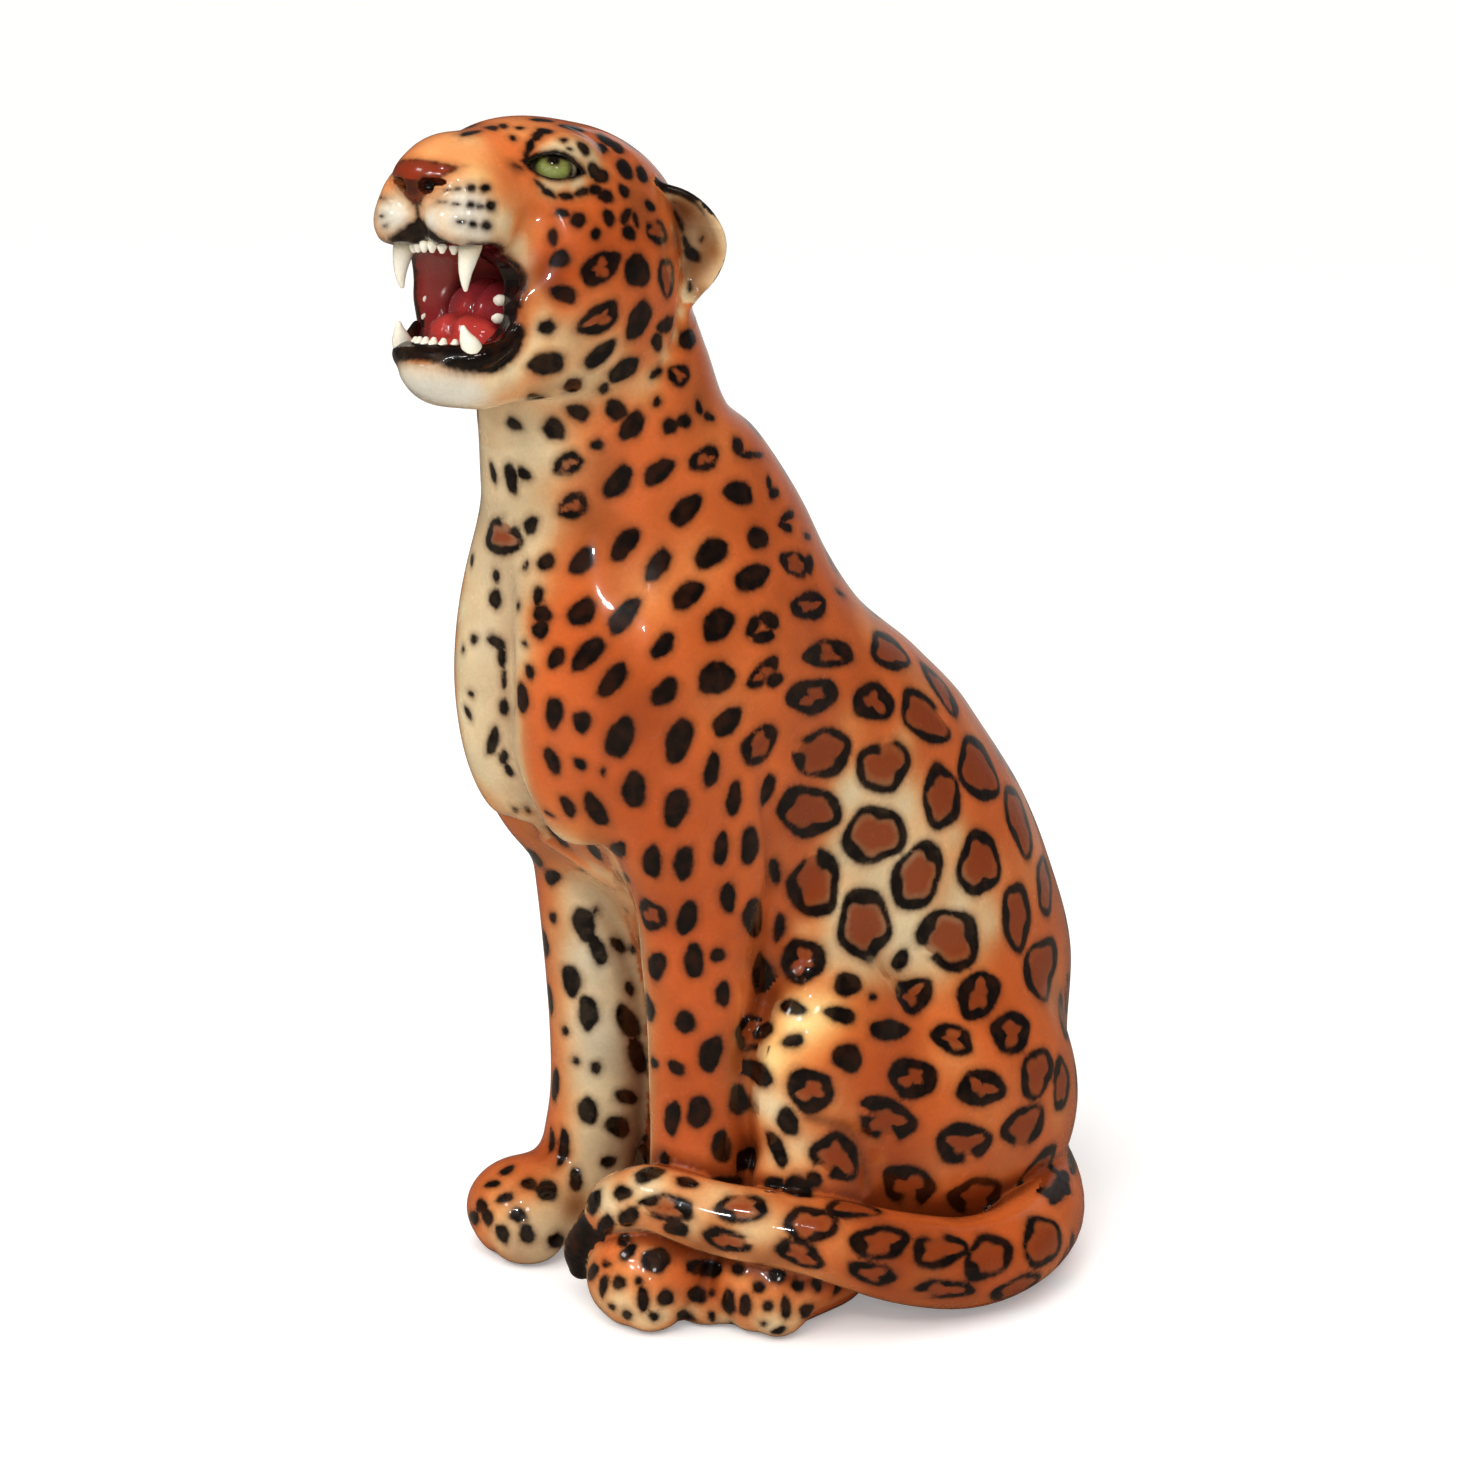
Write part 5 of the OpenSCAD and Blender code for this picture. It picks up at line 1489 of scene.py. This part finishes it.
# ---------------------------------------------------------------- floor, light, camera
def stage_mat():
    m = bpy.data.materials.new("floor_paper")
    m.use_nodes = True
    nd, ln = m.node_tree.nodes, m.node_tree.links
    b = nd["Principled BSDF"]
    b.inputs["Roughness"].default_value = 0.9
    b.inputs["Specular IOR Level"].default_value = 0.1
    n = nd.new("ShaderNodeTexNoise")
    n.inputs["Scale"].default_value = 3.0
    r = nd.new("ShaderNodeMapRange")
    r.inputs["To Min"].default_value = 0.86
    r.inputs["To Max"].default_value = 0.9
    ln.new(n.outputs["Fac"], r.inputs["Value"])
    c = nd.new("ShaderNodeCombineColor")
    for i in range(3):
        ln.new(r.outputs["Result"], c.inputs[i])
    # the room beyond the paper is dark, so little of it shows in the glaze
    p = nd.new("ShaderNodeLightPath")
    x = nd.new("ShaderNodeMix")
    x.data_type = "RGBA"
    ln.new(p.outputs["Is Glossy Ray"], x.inputs["Factor"])
    ln.new(c.outputs[0], x.inputs[6])
    x.inputs[7].default_value = (0.14, 0.12, 0.10, 1)
    ln.new(x.outputs[2], b.inputs["Base Color"])
    # a lit sheet: a little light of its own, for the eye only
    e = nd.new("ShaderNodeMath")
    e.operation = "MULTIPLY"
    ln.new(p.outputs["Is Camera Ray"], e.inputs[0])
    e.inputs[1].default_value = 0.27
    b.inputs["Emission Color"].default_value = (1, 1, 1, 1)
    ln.new(e.outputs[0], b.inputs["Emission Strength"])
    return m

me_ = bpy.data.meshes.new("floor")
me_.from_pydata([(-30, -30, 0), (30, -30, 0), (30, 30, 0), (-30, 30, 0)], [], [(0, 1, 2, 3)])
floor = bpy.data.objects.new("floor", me_)
floor.location.z = -0.0006
bpy.context.scene.collection.objects.link(floor)
me_.materials.append(stage_mat())

def lamp(name, at, to, power, size, size_y=None, colour=(1, 1, 1), shines=True, lights=True):
    l = bpy.data.lights.new(name, "AREA")
    l.energy = power
    l.color = colour
    l.shape = "RECTANGLE"
    l.size = size
    l.size_y = size_y or size
    o = bpy.data.objects.new(name, l)
    o.location = at
    d = Vector(to) - Vector(at)
    o.rotation_euler = d.to_track_quat("-Z", "Y").to_euler()
    o.visible_glossy = shines
    o.visible_diffuse = lights
    o.visible_camera = False
    bpy.context.scene.collection.objects.link(o)

mid = (0.0, -0.06, 0.42)
# broad soft lights shape the form and stay out of the reflections; small ones give the glints
lamp("key", (-0.2, -2.8, 2.2), mid, 10, 1.6, 1.3, (1.0, 0.955, 0.90), False)
lamp("fill", (2.8, -0.6, 1.3), mid, 4, 1.8, 1.8, (1.0, 0.97, 0.94), False)
lamp("rear", (-1.4, 2.4, 1.7), mid, 18, 1.6, 1.6, (1.0, 0.98, 0.95), False)
sun = bpy.data.lights.new("dome", "SUN")
sun.energy = 2.3
sun.angle = math.radians(70)
sun.color = (1.0, 0.975, 0.945)
so = bpy.data.objects.new("dome", sun)
so.rotation_euler = (math.radians(16), math.radians(8), 0)
so.visible_glossy = False
bpy.context.scene.collection.objects.link(so)
lamp("soft_a", (-0.5, -2.2, 2.0), mid, 5, 0.45, 0.30)
lamp("soft_b", (2.2, -1.1, 2.2), mid, 5, 0.40, 0.30)
# a pale card behind, seen only as the sheen along the back
for i in range(8):
    t = math.radians(5 + 6 * i)
    d_ = [-0.766 * math.cos(t) + 0.643 * math.sin(t), 0.643 * math.cos(t) + 0.766 * math.sin(t)]
    lamp("card_%d" % i, (mid[0] + 1.6 * d_[0], mid[1] + 1.6 * d_[1], 0.6), mid, 0.34 * (1 - i / 8.5), 0.18, 1.6, (1.0, 0.98, 0.95), True, False)
lamp("spark_a", (1.2, -2.0, 1.9), mid, 3, 0.07)
lamp("spark_b", (0.5, -2.4, 1.5), mid, 2.5, 0.06)
lamp("spark_c", (1.9, -1.6, 1.25), mid, 2.5, 0.06)
lamp("spark_d", (0.9, -1.2, 2.5), mid, 2.5, 0.07)
for i in range(6):
    lamp("bead_%d" % i, (0.3 + 0.16 * i, -2.2 + 0.08 * i, 1.7 + 0.05 * (i % 3)), mid, 1.1, 0.03)

w = bpy.data.worlds.new("studio")
w.use_nodes = True
nd, ln = w.node_tree.nodes, w.node_tree.links
bg = nd["Background"]
lp = nd.new("ShaderNodeLightPath")
bg.inputs["Color"].default_value = (1.0, 0.985, 0.965, 1)

def share(flag, value, rest):
    n = nd.new("ShaderNodeMix")
    n.data_type = "FLOAT"
    ln.new(lp.outputs[flag], n.inputs["Factor"])
    n.inputs[3].default_value = value
    if isinstance(rest, float):
        n.inputs[2].default_value = rest
    else:
        ln.new(rest, n.inputs[2])
    return n.outputs[0]
ln.new(share("Is Camera Ray", 1.0, share("Is Glossy Ray", 0.06, 0.19)), bg.inputs["Strength"])
bpy.context.scene.world = w

cam = bpy.data.cameras.new("camera")
cam.sensor_width = 36.0
cam.lens = FOC / 1457 * 36.0
cam.clip_end = 200
co = bpy.data.objects.new("camera", cam)
M4 = Matrix.Identity(4)
for i in range(3):
    M4[i][0], M4[i][1], M4[i][2], M4[i][3] = RIGHT[i], UP[i], BACK[i], POS[i] / 1000
co.matrix_world = M4
bpy.context.scene.collection.objects.link(co)
bpy.context.scene.camera = co
bpy.context.scene.view_settings.view_transform = "Standard"
